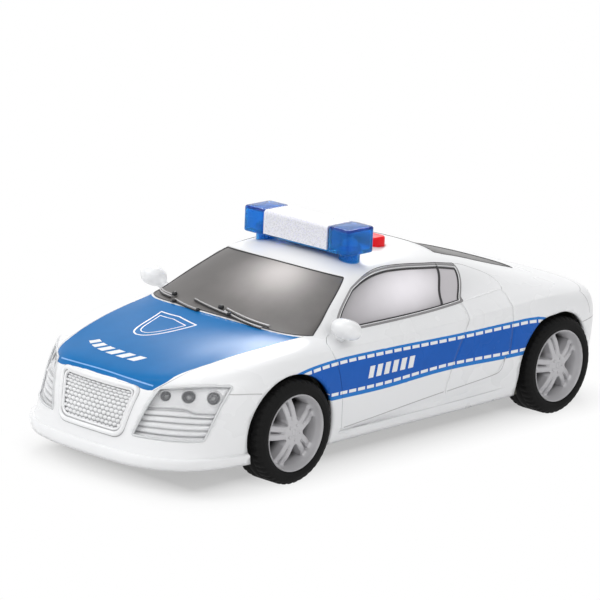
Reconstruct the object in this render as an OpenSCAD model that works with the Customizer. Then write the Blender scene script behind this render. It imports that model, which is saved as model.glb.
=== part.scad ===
// Toy police car: a friction-driven coupe with a roof light bar and a sounding push button.
// Millimetres, +Z up, nose along -Y, left side along +X, origin on the floor under the middle.
// The body skin is a bicubic B-spline over hand-set rings; glass, lamps and grille are
// patches of that same skin, so every insert follows the panel that carries it.

/* [Body] */
// overall length of the body, nose to tail
body_len = 220; // [200:1:240]
// nose to front axle
front_overhang = 49; // [46:0.5:54]
// front axle to rear axle
wheelbase = 132; // [126:1:138]
// widest ring of the body, both sides together
body_w = 94; // [90:0.5:100]
// roof centre above the floor
roof_h = 62.9; // [60:0.1:68]
// lower edge of the body above the floor
ride_h = 9; // [8:0.25:10]
// wall of the body shell
wall = 2; // [1.7:0.1:2.4]
// air gap between a wheel opening and its tyre
arch_gap = 1.9; // [1.5:0.1:3]

/* [Wheels] */
// tyre outside diameter
tyre_d = 34.2; // [32:0.2:36]
// tyre width
tyre_w = 13; // [11:0.5:14]
// outer face of the left wheel to outer face of the right wheel
track_out = 93.6; // [90:0.2:97]
// diameter of the rim where the tyre sits
rim_d = 25.6; // [23:0.2:27]
// spoke pairs on a rim
spoke_pairs = 5; // [4:1:7]
// width of one spoke
spoke_w = 1.9; // [1.4:0.1:2.4]
// axle diameter
axle_d = 3; // [2.5:0.1:4]

/* [Glass and lamps] */
// thickness of windows, lenses and the grille
glass_t = 1.3; // [1:0.1:1.5]
// how far inserts lie below the body skin
inset = 0.15; // [0.05:0.05:0.3]
// rows of holes across the grille
grille_rows = 6; // [4:1:8]
// holes in one grille row
grille_cols = 11; // [7:1:13]
// diameter of one grille hole
grille_hole = 1.6; // [1.2:0.1:2]

/* [Light bar] */
// length of the bar across the car
bar_len = 47; // [40:0.5:54]
// front to back size of the bar
bar_depth = 13; // [11:0.5:15]
// height of the bar
bar_h = 8.8; // [7.5:0.1:11]
// gap between the roof centre and the bar
bar_lift = 0.8; // [0.6:0.1:3]
// middle of the bar ahead of the middle of the wheelbase
bar_ahead = 14.5; // [11:0.5:18]
// length of the white sleeve
sleeve_len = 28.8; // [22:0.2:32]
// wall of the sleeve
sleeve_t = 0.7; // [0.5:0.1:1]
// wall of the blue lens
lens_t = 1.2; // [1:0.1:1.6]
// diameter of a bar post
post_d = 7; // [6.4:0.1:8]
// middle of a post from the centre line
post_x = 19; // [18:0.5:20]

/* [Button] */
// width of the push button across the car
btn_w = 28; // [20:0.5:32]
// front to back size of the button
btn_depth = 7; // [5:0.25:9]
// middle of the button behind the middle of the wheelbase
btn_behind = 6.5; // [4:0.5:10]
// button top above the roof centre
btn_up = 1.9; // [1.8:0.1:4]
// travel of the button
btn_travel = 1.5; // [1:0.1:1.7]

/* [Drive] */
// gear module
gear_m = 0.8; // [0.75:0.01:0.82]
// teeth of the axle gear and of the middle wheel
wheel_teeth = 18; // [17:1:18]
// teeth of both pinions
pinion_teeth = 10; // [10:1:11]
// flywheel diameter
flywheel_d = 16; // [13:0.5:16.5]
// flywheel width
flywheel_w = 6; // [4:0.5:6.5]
// diameter of the gear pins
pin_d = 2; // [1.6:0.1:2.4]

/* [Chassis] */
// thickness of the chassis plate
plate_t = 2.2; // [2:0.1:2.6]
// diameter of a button cell
cell_d = 11.6; // [11:0.1:12]
// height of a button cell
cell_h = 5.4; // [5:0.1:5.6]
// diameter of the speaker
speaker_d = 28; // [24:1:30]
// diameter of a screw shank
screw_d = 2.2; // [1.8:0.1:2.4]

/* [Fits] */
// side gap of an insert in its opening
seat_gap = 0.15; // [0.1:0.01:0.2]
// radial running clearance of pins and axles
run_gap = 0.05; // [0.03:0.01:0.08]
// gap around the moving button
slide_gap = 0.35; // [0.3:0.05:0.5]

/* [Hidden] */
$fn = 48;
// colours
white = [0.93, 0.94, 0.95];
black = [0.06, 0.06, 0.07];
grey = [0.36, 0.36, 0.37];
silver = [0.76, 0.77, 0.78];
blue = [0.05, 0.26, 0.72];
red = [0.85, 0.06, 0.06];
brass = [0.75, 0.6, 0.28];
steel = [0.62, 0.63, 0.65];
green = [0.1, 0.4, 0.2];
// places along the car
front_axle_y = front_overhang - body_len / 2;
rear_axle_y = front_axle_y + wheelbase;
mid_y = front_axle_y + wheelbase / 2;
rear_overhang = body_len - front_overhang - wheelbase;
axle_z = tyre_d / 2;
wheel_out = track_out / 2;
wheel_in = wheel_out - tyre_w;
axle_r = axle_d / 2;
rim_r = rim_d / 2;
arch_r = tyre_d / 2 + arch_gap;
// chassis levels
plate_z = ride_h + 0.3;
floor_z = plate_z + plate_t;
post_r = 3;
screw_r = screw_d / 2;
head_r = screw_r + 1.1;
head_t = 1.2;
// body screws: half way across the car, part way along each overhang
body_screw_x = 20;
front_post = [body_screw_x, front_axle_y - 0.64 * front_overhang];
rear_post = [body_screw_x, rear_axle_y + 0.64 * rear_overhang];
// roof pieces
bar_cy = mid_y - bar_ahead;
bar_z = roof_h + bar_lift;
btn_cy = mid_y + btn_behind;
btn_top = roof_h + btn_up;
board_top = roof_h - 11.7;
board_t = 1.2;
board_w = 44;
board_front = 5;
board_back = 9;
dome_h = 2;
roof_in = roof_h - 6.4;
flange_z = roof_h - 5.7;
// friction drive, stepping forwards from the rear axle
pressure = 25;
backlash = 0.14;
tooth_add = 0.8;
tooth_ded = 1.05;
gear_d = gear_m * (wheel_teeth + pinion_teeth) / 2;
wheel_out_r = gear_m * (wheel_teeth / 2 + tooth_add);
pin_r = pin_d / 2;
box_x = 12;
box_wall = 1.2;
drive_r = max(wheel_out_r, flywheel_d / 2);
box_top = axle_z + drive_r + 1.7;
box_bottom = axle_z - drive_r - 1.5;
ear_x = 14.6;
ear_r = 2.6;
box_y0 = rear_axle_y - 2 * gear_d - flywheel_d / 2 - 1.8;
box_y1 = rear_axle_y + wheel_out_r + 1.8;

// Rings of the skin, lower edge to roof, on the left half from nose to tail. Each ring holds
// half widths, places from the middle of the wheelbase, and heights, at the nominal size.
nom = [47, 49, 132, 39, 9, 62.9];
rings = [
    // lower edge
    [[0, 18, 33.2, 42.8, 45, 43.8, 43.8, 44.2, 45.5, 42, 24, 0],
     [-115, -115, -109.2, -95, -66, -46, -12, 20, 62, 91, 101.5, 103],
     [9, 9, 9, 9.3, 9.5, 9.5, 9.5, 9.5, 10.5, 11, 11, 11]],
    // lip
    [[0, 18, 33.8, 43.4, 45.6, 44.6, 44.6, 44.9, 46, 42.5, 24, 0],
     [-115, -115, -109.8, -95.6, -66, -46, -12, 20, 62, 91.5, 102.5, 104],
     [12, 12, 12, 12.2, 12.5, 12.5, 12.5, 12.5, 13.5, 14, 14.5, 14.5]],
    // step above the lip
    [[0, 18, 33, 42.5, 45.2, 44.2, 44, 44.4, 46, 42.6, 24.3, 0],
     [-113.2, -113.2, -107.4, -93.8, -66, -46, -12, 20, 62, 91.7, 102.8, 104.2],
     [13.2, 13.2, 13.2, 13.4, 13.8, 13.6, 13.6, 13.6, 14.6, 15.4, 16, 16]],
    // bumper
    [[0, 18, 32.4, 42.5, 46.2, 44.4, 43.7, 44.2, 46.8, 43.4, 24.5, 0],
     [-112.8, -112.6, -105.8, -92.8, -66, -46, -12, 20, 62, 92.4, 104.1, 105.5],
     [20, 20, 20, 20, 21, 21, 21, 21, 22, 24, 25, 25]],
    // lamp level
    [[0, 18, 31.6, 42.3, 46.8, 44.5, 43.6, 44.2, 47, 43.7, 24.6, 0],
     [-111.2, -110.7, -104, -91.8, -66, -46, -12, 20, 62, 92.2, 104.1, 105.5],
     [28, 28, 28, 28.5, 29.5, 29, 29, 29, 31, 31, 31, 31]],
    // shoulder
    [[0, 18, 30.6, 41.4, 46.3, 44.2, 43.6, 44, 47, 43.4, 24.5, 0],
     [-109.6, -109, -101.8, -89.8, -66, -46, -12, 20, 62, 91.4, 102.2, 103.4],
     [33, 33, 33.4, 34.6, 36, 35.5, 35.5, 35.7, 38, 36.4, 36, 36]],
    // fender crown
    [[0, 17.4, 28.4, 38.8, 43.2, 42.6, 42.2, 42.8, 44.6, 41.2, 24, 0],
     [-107.6, -107, -99, -86.5, -66, -46, -12, 20, 62, 88.8, 99.8, 101],
     [35.2, 35.4, 36.4, 39.4, 41.4, 40.4, 40, 40.4, 42.6, 39.8, 39, 39]],
    // bonnet edge and tail edge
    [[0, 15.8, 24.6, 33.6, 39, 40.2, 40.2, 40.3, 39.6, 36, 22, 0],
     [-103.6, -103, -95.4, -82, -62, -46, -12, 20, 60, 83.5, 94.5, 96],
     [36.4, 36.5, 37.4, 40.3, 42.8, 42.4, 42.2, 43, 45.2, 42, 40.4, 40.2]],
    // middle of the bonnet and of the rear deck
    [[0, 13, 21.5, 29.5, 35.8, 38.6, 39, 38.6, 34.4, 28, 16, 0],
     [-87, -86.6, -82, -73, -57, -46.5, -13, 20, 52, 67.5, 73, 73.6],
     [40, 40.1, 40.5, 41.8, 43.2, 43.7, 43.9, 44.8, 48.4, 46.6, 46, 46]],
    // foot of the windscreen and belt line
    [[0, 10, 19, 27.2, 33.4, 36.8, 37.9, 37, 30.8, 23, 12, 0],
     [-61, -60.6, -58.6, -55.2, -51.2, -47.4, -14, 20, 42, 48.6, 50.5, 50.7],
     [43.4, 43.4, 43.6, 43.9, 44.3, 44.8, 45.3, 46.2, 51.2, 51.8, 52.1, 52.2]],
    // middle of the glass
    [[0, 9.5, 18, 25.6, 31, 33.6, 34.6, 33.7, 28, 20, 10, 0],
     [-45, -44.7, -43.2, -40.6, -37.8, -34.6, -10, 17, 33.5, 36.8, 37.6, 37.7],
     [52.4, 52.3, 52.1, 51.8, 51.6, 51.7, 52.4, 52.3, 54.8, 56, 56.4, 56.5]],
    // top of the glass
    [[0, 8.8, 17, 24, 28.4, 30.2, 31, 30.2, 25.2, 17.6, 8.8, 0],
     [-30.6, -30.4, -29.6, -27.8, -25, -21.4, -4, 13, 23.6, 26.4, 27, 27.1],
     [59.6, 59.5, 59.2, 58.6, 57.7, 57.4, 58, 57.2, 57.5, 59, 59.5, 59.6]],
    // roof rail
    [[0, 8, 15.4, 21.4, 25, 26.4, 27, 26.4, 22.4, 15.8, 8, 0],
     [-26, -25.8, -25, -23.4, -21, -17.6, -3, 11, 19.6, 22, 22.6, 22.7],
     [61, 60.9, 60.7, 60.3, 59.8, 59.7, 60.1, 59.3, 59.2, 60.2, 60.7, 60.8]],
    // inner roof
    [[0, 5, 9.5, 13, 14.8, 15.3, 15.5, 15, 12.5, 9, 4.5, 0],
     [-15, -15, -14.6, -14, -13, -10, -2, 6, 11, 13, 13.3, 13.3],
     [62.4, 62.4, 62.3, 62.2, 62.1, 62, 62.1, 61.8, 61.7, 61.9, 62.1, 62.1]],
    // roof centre line
    [[0, 0, 0, 0, 0, 0, 0, 0, 0, 0, 0, 0],
     [-7, -7, -7, -6.5, -6, -5, -1, 3, 5, 6, 6, 6],
     [62.9, 62.9, 62.9, 62.9, 62.9, 62.9, 62.9, 62.9, 62.9, 62.9, 62.9, 62.9]]];
n_ring = len(rings);
n_col = len(rings[0][0]);
t_end = n_col - 1;
v_end = n_ring;

// nominal place along the car to the real one, by overhang and wheelbase
function station(y) =
    y < -nom[2] / 2 ? front_axle_y + (y + nom[2] / 2) * front_overhang / nom[1] :
    y > nom[2] / 2 ? rear_axle_y + (y - nom[2] / 2) * rear_overhang / nom[3] :
    front_axle_y + (y + nom[2] / 2) * wheelbase / nom[2];
function height(z) = ride_h + (z - nom[4]) * (roof_h - ride_h) / (nom[5] - nom[4]);
function flip(p) = [-p[0], p[1], p[2]];
function lerp(a, b, f) = a + (b - a) * f;
function unit(p) = norm(p) > 0 ? p / norm(p) : [0, 0, 1];

function knot(j, c) =
    c < 0 ? flip(knot(j, -c)) :
    c > t_end ? flip(knot(j, 2 * t_end - c)) :
    j < 0 ? knot(0, c) :
    j > n_ring - 1 ? flip(knot(2 * n_ring - 2 - j, c)) :
    [rings[j][0][c] * body_w / 2 / nom[0], station(rings[j][1][c]), height(rings[j][2][c])];
net = [for (j = [-2 : n_ring]) [for (c = [-1 : n_col]) knot(j, c)]];

// uniform cubic B-spline weights
function weights(f) =
    [pow(1 - f, 3) / 6, (3 * f * f * f - 6 * f * f + 4) / 6, (-3 * f * f * f + 3 * f * f + 3 * f + 1) / 6,
     f * f * f / 6];
function blend(row, i, w) = w[0] * row[i] + w[1] * row[i + 1] + w[2] * row[i + 2] + w[3] * row[i + 3];

// point of the skin: t runs round the car from nose (0) to tail (t_end), v from lower edge to roof
function skin(t, v) =
    t < 0 ? flip(skin(-t, v)) :
    t > t_end ? flip(skin(2 * t_end - t, v)) :
    let (i = min(floor(t), t_end - 1), j = min(floor(v), v_end - 1), a = weights(t - i), b = weights(v - j))
    b[0] * blend(net[j], i, a) + b[1] * blend(net[j + 1], i, a) + b[2] * blend(net[j + 2], i, a)
    + b[3] * blend(net[j + 3], i, a);
function normal(t, v) =
    let (h = 0.02, w = min(v, v_end - 0.4))
    unit(cross(skin(t + h, w) - skin(t - h, w), skin(t, w + h) - skin(t, max(w - h, 0))));
// point at distance d outside the skin
function off(t, v, d) = skin(t, v) + d * normal(t, v);
// point of the lower edge moved inwards by d in plan
function foot(t, d) = let (n = normal(t, 0.6), p = skin(t, 0)) [p[0], p[1]] - d * unit([n[0], n[1]]);

// closed solid between rings of points; the last ring folds onto the roof centre line
module ring_solid(loops, seam, n) {
    m = len(loops);
    base = m * n;
    mid = base + len(seam);
    hub = [0, 0, loops[0][0][2]];
    function top(i) = base + min(i, n - i);
    function at(j, i) = j < m ? j * n + i % n : top(i % n);
    polyhedron(concat([for (l = loops) each l], seam, [hub]), concat(
        [for (i = [0 : n - 1]) [mid, at(0, i), at(0, i + 1)]],
        [for (j = [0 : m - 1], i = [0 : n - 1]) [at(j, i), at(j + 1, i), at(j, i + 1)]],
        [for (j = [0 : m - 1], i = [0 : n - 1]) if (at(j + 1, i) != at(j + 1, i + 1))
            [at(j, i + 1), at(j + 1, i), at(j + 1, i + 1)]]));
}

// body block, grown by d
module body_block(d = 0, per_t = 4, per_v = 2) {
    n = 2 * t_end * per_t;
    m = v_end * per_v;
    ring_solid([for (j = [0 : m - 1]) [for (i = [0 : n - 1]) off(i / per_t, j / per_v, d)]],
        [for (i = [0 : n / 2]) off(i / per_t, v_end, d)], n);
}

// hollow inside the body: straight walls round the lower edge, then the skin less the wall
module body_core() {
    per_t = 2;
    n = 2 * t_end * per_t;
    rim = [for (i = [0 : n - 1]) foot(i / per_t, wall)];
    ring_solid(concat(
        [[for (p = rim) [p[0], p[1], -5]], [for (p = rim) [p[0], p[1], height(13.5)]]],
        [for (v = [4, 5, 6, 7, 8, 9, 10, 11, 12, 13, 14]) [for (i = [0 : n - 1]) off(i / per_t, v, -wall)]]),
        [for (i = [0 : n / 2]) off(i / per_t, v_end, -wall)], n);
}

// slab over a grid of skin places, between depths lo and hi
module patch(grid, lo, hi) {
    rows = len(grid);
    cols = len(grid[0]);
    n = rows * cols;
    function at(k, r, c) = k * n + r * cols + c;
    function quad(a, b, c, d) = [[a, b, c], [a, c, d]];
    polyhedron(concat([for (row = grid, g = row) off(g[0], g[1], hi)],
        [for (row = grid, g = row) off(g[0], g[1], lo)]), concat(
        [for (r = [0 : rows - 2], c = [0 : cols - 2])
            each quad(at(0, r, c), at(0, r + 1, c), at(0, r + 1, c + 1), at(0, r, c + 1))],
        [for (r = [0 : rows - 2], c = [0 : cols - 2])
            each quad(at(1, r, c), at(1, r, c + 1), at(1, r + 1, c + 1), at(1, r + 1, c))],
        [for (c = [0 : cols - 2]) each quad(at(0, 0, c), at(0, 0, c + 1), at(1, 0, c + 1), at(1, 0, c))],
        [for (c = [0 : cols - 2])
            each quad(at(0, rows - 1, c), at(1, rows - 1, c), at(1, rows - 1, c + 1), at(0, rows - 1, c + 1))],
        [for (r = [0 : rows - 2]) each quad(at(0, r, 0), at(1, r, 0), at(1, r + 1, 0), at(0, r + 1, 0))],
        [for (r = [0 : rows - 2])
            each quad(at(0, r, cols - 1), at(0, r + 1, cols - 1), at(1, r + 1, cols - 1), at(1, r, cols - 1))]));
}

// outlines of the openings: s along the car or across it, r upwards, both 0 to 1
function screen_at(s, r) =
    let (foot_v = 10.2 - 0.62 * pow(abs(2 * s - 1), 2.4), v = lerp(foot_v, 12.25, r))
    [(2 * s - 1) * lookup(r, [[0, 4.55], [0.3, 4.52], [0.6, 4.2], [0.85, 3.92], [1, 3.8], [1.1, 3.73]]), v];
function back_at(s, r) =
    [t_end + (2 * s - 1) * lookup(r, [[0, 1.65], [0.4, 1.9], [0.85, 2.35], [1, 2.4]]), lerp(9.15, 12, r)];
function window_at(s, r) =
    let (top = lookup(s, [[0, 11.65], [0.115, 12.12], [0.21, 12.42], [0.3, 12.55], [0.453, 12.5], [0.647, 12.24],
            [0.8, 11.88], [0.91, 11.5], [1, 11.15]]),
        along = lookup(s, [[-0.1, 4.62], [0, 4.8], [0.115, 5.01], [0.21, 5.31], [0.3, 5.62], [0.453, 6.16],
            [0.647, 6.84], [0.8, 7.38], [0.91, 7.66], [1, 7.86], [1.1, 8.06]]))
    [lerp(lerp(5.25, 7.06, s), along, r + pow(s, 4) * (r * abs(r) - r)), lerp(lerp(9.48, 9.0, s), top, r)];
function lamp_at(s, r) =
    let (top = lookup(s, [[0, 6.22], [0.35, 6.36], [0.7, 6.3], [1, 6.12]]))
    [lerp(lerp(1.05, 2.53, s), lerp(1.46, 2.92, s), r), lerp(3.75, top, r)];
function grille_at(s, r) = [(2 * s - 1) * lerp(0.75, 0.96, r), lerp(3.7, 5.9, r)];
function tail_at(s, r) = [lerp(9.5, 10.5, s), lerp(5.15, 6.2, r)];

// places over an outline, grown by gap for an opening of the stated width and height
function spread(outline, size, ns, nr, gap = 0) =
    [for (b = [0 : nr]) [for (a = [0 : ns])
        outline(lerp(-gap / size[0], 1 + gap / size[0], a / ns), lerp(-gap / size[1], 1 + gap / size[1], b / nr))]];
function screen_grid(gap = 0) = spread(function (s, r) screen_at(s, r), [62, 22], 16, 6, gap);
function back_grid(gap = 0) = spread(function (s, r) back_at(s, r), [38, 30], 10, 6, gap);
function window_grid(gap = 0) = spread(function (s, r) window_at(s, r), [55, 14], 12, 4, gap);
function lamp_grid(gap = 0) = spread(function (s, r) lamp_at(s, r), [28, 15], 8, 5, gap);
function grille_grid(gap = 0) = spread(function (s, r) grille_at(s, r), [31, 14], 8, 4, gap);
function tail_grid(gap = 0) = spread(function (s, r) tail_at(s, r), [21, 6], 6, 3, gap);

module both_sides() {
    children();
    mirror([1, 0, 0]) children();
}

module openings() {
    patch(screen_grid(seat_gap), -5, 2);
    patch(back_grid(seat_gap), -5, 2);
    patch(grille_grid(seat_gap), -6, 2);
    both_sides() {
        patch(window_grid(seat_gap), -4, 2);
        patch(lamp_grid(seat_gap), -5, 2);
        patch(tail_grid(seat_gap), -5, 2);
    }
}

// rounded rectangle in plan
module pill(w, d, r, h) {
    linear_extrude(h) polygon([for (c = [0 : 3], k = [0 : 4])
        let (a = c * 90 + k * 22.5, sx = c == 0 || c == 3 ? 1 : -1, sy = c < 2 ? 1 : -1)
        [sx * (w / 2 - r) + r * cos(a), sy * (d / 2 - r) + r * sin(a)]]);
}

// cylinder along X from x0 to x1
module rod(x0, x1, r, y = 0, z = 0, sides = 48) {
    translate([x0, y, z]) rotate([0, 90, 0]) cylinder(h = x1 - x0, r = r, $fn = sides);
}

peg_x = post_x - 0.5;
function board_pegs() = [for (s = [-1, 1], y = [bar_cy + 8.5, btn_cy + 6]) [s * peg_x, y]];

module body_shell() color(white) resize([0, 0, 0]) difference() {
    union() {
        difference() {
            body_block();
            body_core();
        }
        intersection() {
            body_block(-0.4, 2, 1);
            union() {
                both_sides() for (p = [front_post, rear_post])
                    translate([p[0], p[1], floor_z + 0.1]) cylinder(h = 60, r = post_r, $fn = 20);
                for (p = board_pegs())
                    translate([p[0], p[1], board_top + 0.1]) cylinder(h = 30, r = 2.2, $fn = 16);
            }
        }
    }
    openings();
    both_sides() {
        rod(28, 70, arch_r, front_axle_y, axle_z, 72);
        rod(28, 70, arch_r, rear_axle_y, axle_z, 72);
        for (p = [front_post, rear_post])
            translate([p[0], p[1], floor_z - 1]) cylinder(h = 11, r = screw_r + 0.05, $fn = 16);
        translate([post_x, bar_cy, roof_in - 4]) cylinder(h = 20, r = post_d / 2 + run_gap, $fn = 32);
    }
    translate([0, btn_cy, roof_in - 4])
        pill(btn_w + 2 * slide_gap, btn_depth + 2 * slide_gap, 2.4 + slide_gap, 20);
}

module windscreen() color(grey) patch(screen_grid(), -inset - glass_t, -inset);
module rear_window() color(grey) patch(back_grid(), -inset - glass_t, -inset);
module side_window() color(silver) patch(window_grid(), -inset - glass_t, -inset);
module side_window_left() side_window();
module side_window_right() mirror([1, 0, 0]) side_window();

lamp_front = 0.8;
module headlight_lens() color(silver) patch(lamp_grid(), -inset - lamp_front, -inset);
module headlight_lens_left() headlight_lens();
module headlight_lens_right() mirror([1, 0, 0]) headlight_lens();

// reflector behind the lens, with three lamp cups standing in its upper half
module headlight_bowl() color(silver) resize([0, 0, 0]) difference() {
    patch(lamp_grid(), -inset - lamp_front - 1.7, -inset - lamp_front - 0.15);
    for (s = [0.22, 0.5, 0.8]) {
        g = lamp_at(s, 0.72);
        p = skin(g[0], g[1]);
        translate(p) multmatrix(frame_at(g)) cylinder(h = 4.8, r = 2, center = true, $fn = 18);
    }
}
module headlight_bowl_left() headlight_bowl();
module headlight_bowl_right() mirror([1, 0, 0]) headlight_bowl();

// rotation whose Z axis is the skin's normal at a place
function frame_at(g) =
    let (z = normal(g[0], g[1]), x = unit(cross([0, 0, 1], z)), y = cross(z, x))
    [[x[0], y[0], z[0], 0], [x[1], y[1], z[1], 0], [x[2], y[2], z[2], 0], [0, 0, 0, 1]];

module grille() color(white) resize([0, 0, 0]) difference() {
    patch(grille_grid(), -inset - glass_t, -inset);
    for (r = [0 : grille_rows - 1], c = [0 : grille_cols - 1 - r % 2]) {
        g = grille_at(lerp(0.09, 0.91, (c + (r % 2) / 2) / (grille_cols - 1)), lerp(0.14, 0.86, r / (grille_rows - 1)));
        translate(skin(g[0], g[1])) rotate([90, 0, 0])
            cylinder(h = 8, d = grille_hole, center = true, $fn = 6);
    }
}

module tail_light() color(red) patch(tail_grid(), -inset - glass_t, -inset);
module tail_light_left() tail_light();
module tail_light_right() mirror([1, 0, 0]) tail_light();

// door mirror: a rounded pod on a short arm, seated on the door skin
mirror_t = 5.12;
mirror_v = 8.25;
module door_mirror() color(white) resize([0, 0, 0]) difference() {
    root = skin(mirror_t, mirror_v);
    pod = root + [3.6, -2.2, 2.7];
    union() {
        hull() {
            translate(pod) scale([1, 0.78, 1]) sphere(r = 4.5, $fn = 20);
            translate(pod + [0.8, 2, 0.2]) scale([1, 0.4, 1]) sphere(r = 4.4, $fn = 20);
        }
        hull() {
            translate(root - [1, -1.4, 1]) sphere(r = 1.7, $fn = 12);
            translate(pod - [1.2, -0.8, 1.6]) sphere(r = 1.5, $fn = 12);
        }
    }
    body_block(0.06, 4, 2);
}
module mirror_left() door_mirror();
module mirror_right() mirror([1, 0, 0]) door_mirror();

// wiper: an arm and a blade lying along the glass between skin places
wiper_r = 0.45;
function glass_line(a, b, n) =
    [for (k = [0 : n]) let (g = lerp(a, b, k / n)) off(g[0], g[1], wiper_r + 0.08 - inset)];
module bead_run(points) for (k = [0 : len(points) - 2]) hull() {
    translate(points[k]) sphere(r = wiper_r, $fn = 8);
    translate(points[k + 1]) sphere(r = wiper_r, $fn = 8);
}
module wiper(pivot, elbow, tip, heel) color(black) resize([0, 0, 0]) union() {
    bead_run(glass_line(heel, tip, 6));
    bead_run(glass_line(pivot, elbow, 3));
}
module wiper_left() wiper([1.4, 10.27], [0.2, 10.36], [-1.3, 10.45], [2.5, 10.17]);
module wiper_right() wiper([-1.7, 10.25], [-2.5, 10.27], [-3.6, 10.15], [-0.7, 10.27]);

// section of the light bar, seen along the car's width, less d on the top, front and back
module bar_section(d, cut = 0) polygon([
    [-bar_depth / 2 + d, cut],
    [bar_depth / 2 - d, cut],
    [bar_depth / 2 - d, bar_h - 1.1 - d],
    [bar_depth / 2 - 0.33 - d, bar_h - 0.33 - d],
    [bar_depth / 2 - 1.1 - d, bar_h - d],
    [-bar_depth / 2 + 1.1 + d, bar_h - d],
    [-bar_depth / 2 + 0.33 + d, bar_h - 0.33 - d],
    [-bar_depth / 2 + d, bar_h - 1.1 - d]]);
module bar_run(len, d, cut = 0)
    translate([-len / 2, bar_cy, bar_z]) rotate([90, 0, 90]) linear_extrude(len) bar_section(d, cut);

module light_bar_lens() color(blue) difference() {
    bar_run(bar_len, 0);
    difference() {
        bar_run(sleeve_len + 2 * run_gap, -1);
        bar_run(sleeve_len + 4, sleeve_t + run_gap, -2);
        translate([-bar_len, bar_cy - bar_depth, bar_z - 3]) cube([2 * bar_len, 2 * bar_depth, 3 + lens_t]);
    }
    difference() {
        bar_run(bar_len - 2 * lens_t, sleeve_t + run_gap + lens_t);
        translate([-bar_len, bar_cy - bar_depth, bar_z - 3]) cube([2 * bar_len, 2 * bar_depth, 3 + lens_t]);
    }
    both_sides() translate([post_x, bar_cy, bar_z - 1]) cylinder(h = 3, r = post_d / 2 + run_gap);
}

module light_bar_sleeve() color(white) difference() {
    bar_run(sleeve_len, 0, lens_t + run_gap);
    bar_run(sleeve_len + 2, sleeve_t, -1);
}

led_r = 2.5;
module light_post() color(blue) translate([post_x, bar_cy, roof_in]) difference() {
    cylinder(h = bar_z + 2.4 - roof_in, r = post_d / 2);
    translate([0, 0, -1]) cylinder(h = 30, r = led_r + run_gap);
}
module light_post_left() light_post();
module light_post_right() mirror([1, 0, 0]) light_post();

module led() color(white) translate([post_x, bar_cy, 0]) {
    translate([0, 0, bar_z - 0.6]) cylinder(h = 3.2, r = led_r);
    translate([0, 0, bar_z + 2.6]) intersection() {
        sphere(r = led_r);
        cylinder(h = led_r, r = led_r);
    }
    for (s = [-1, 1]) translate([s * 1.2, 0, board_top + 0.05])
        cylinder(h = bar_z - 0.6 - board_top, r = 0.3, $fn = 12);
}
module led_left() led();
module led_right() mirror([1, 0, 0]) led();

stem_w = 5;
module roof_button() color(red) translate([0, btn_cy, 0]) {
    translate([0, 0, flange_z]) pill(btn_w, btn_depth, 2.4, btn_top - 0.8 - flange_z);
    hull() {
        translate([0, 0, btn_top - 0.8]) pill(btn_w, btn_depth, 2.4, 0.01);
        translate([0, 0, btn_top - 0.01]) pill(btn_w - 1.8, btn_depth - 1.8, 1.6, 0.01);
    }
    translate([0, 0, flange_z]) pill(btn_w + 2.4, btn_depth + 2.4, 2.4, 1);
    translate([0, 0, board_top + dome_h + 0.1])
        pill(stem_w, stem_w, 1, flange_z - board_top - dome_h);
}

module switch_dome() color(silver) translate([0, btn_cy, board_top])
    cylinder(h = dome_h, r1 = 3.4, r2 = 2);

module circuit_board() color(green) translate([-board_w / 2, bar_cy - board_front, board_top - board_t])
    cube([board_w, btn_cy - bar_cy + board_front + board_back, board_t]);

// chassis: floor plate, wheel tubs, axle bearings and the battery tray
tub_in = 29;
tub_out_front = body_w / 2 - 7.2;
tub_out_rear = body_w / 2 - 5.5;
tub_t = 1.2;
tub_r = arch_r + 0.4;
bearing_x = 22;
bearing_r = 4;
// the battery tray lies in the middle of the wheelbase, the speaker half way to the front axle
tray_y = mid_y;
speaker_y = (front_axle_y + mid_y) / 2;
cell_gap = 0.6;
tray_gap = 1.6;
tray_wall = 1.4;
pitch = cell_d + cell_gap;
tray_w = 3 * pitch + 2 * tray_gap;
tray_d = cell_d + 2 * tray_gap;
door_tail = 6;

module floor_outline() polygon([for (i = [0 : 4 * t_end - 1]) foot(i / 2, wall + seat_gap)]);

module wheel_tub(y, tub_out) intersection() {
    union() {
        difference() {
            rod(tub_in, tub_out, tub_r + tub_t, y, axle_z);
            rod(tub_in + tub_t, tub_out + 1, tub_r, y, axle_z);
        }
        rod(bearing_x, tub_in + 0.5, bearing_r, y, axle_z);
        translate([bearing_x, y - bearing_r, plate_z]) cube([tub_in - bearing_x, 2 * bearing_r, axle_z - plate_z]);
    }
    translate([0, 0, plate_z]) linear_extrude(60) floor_outline();
}

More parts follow.
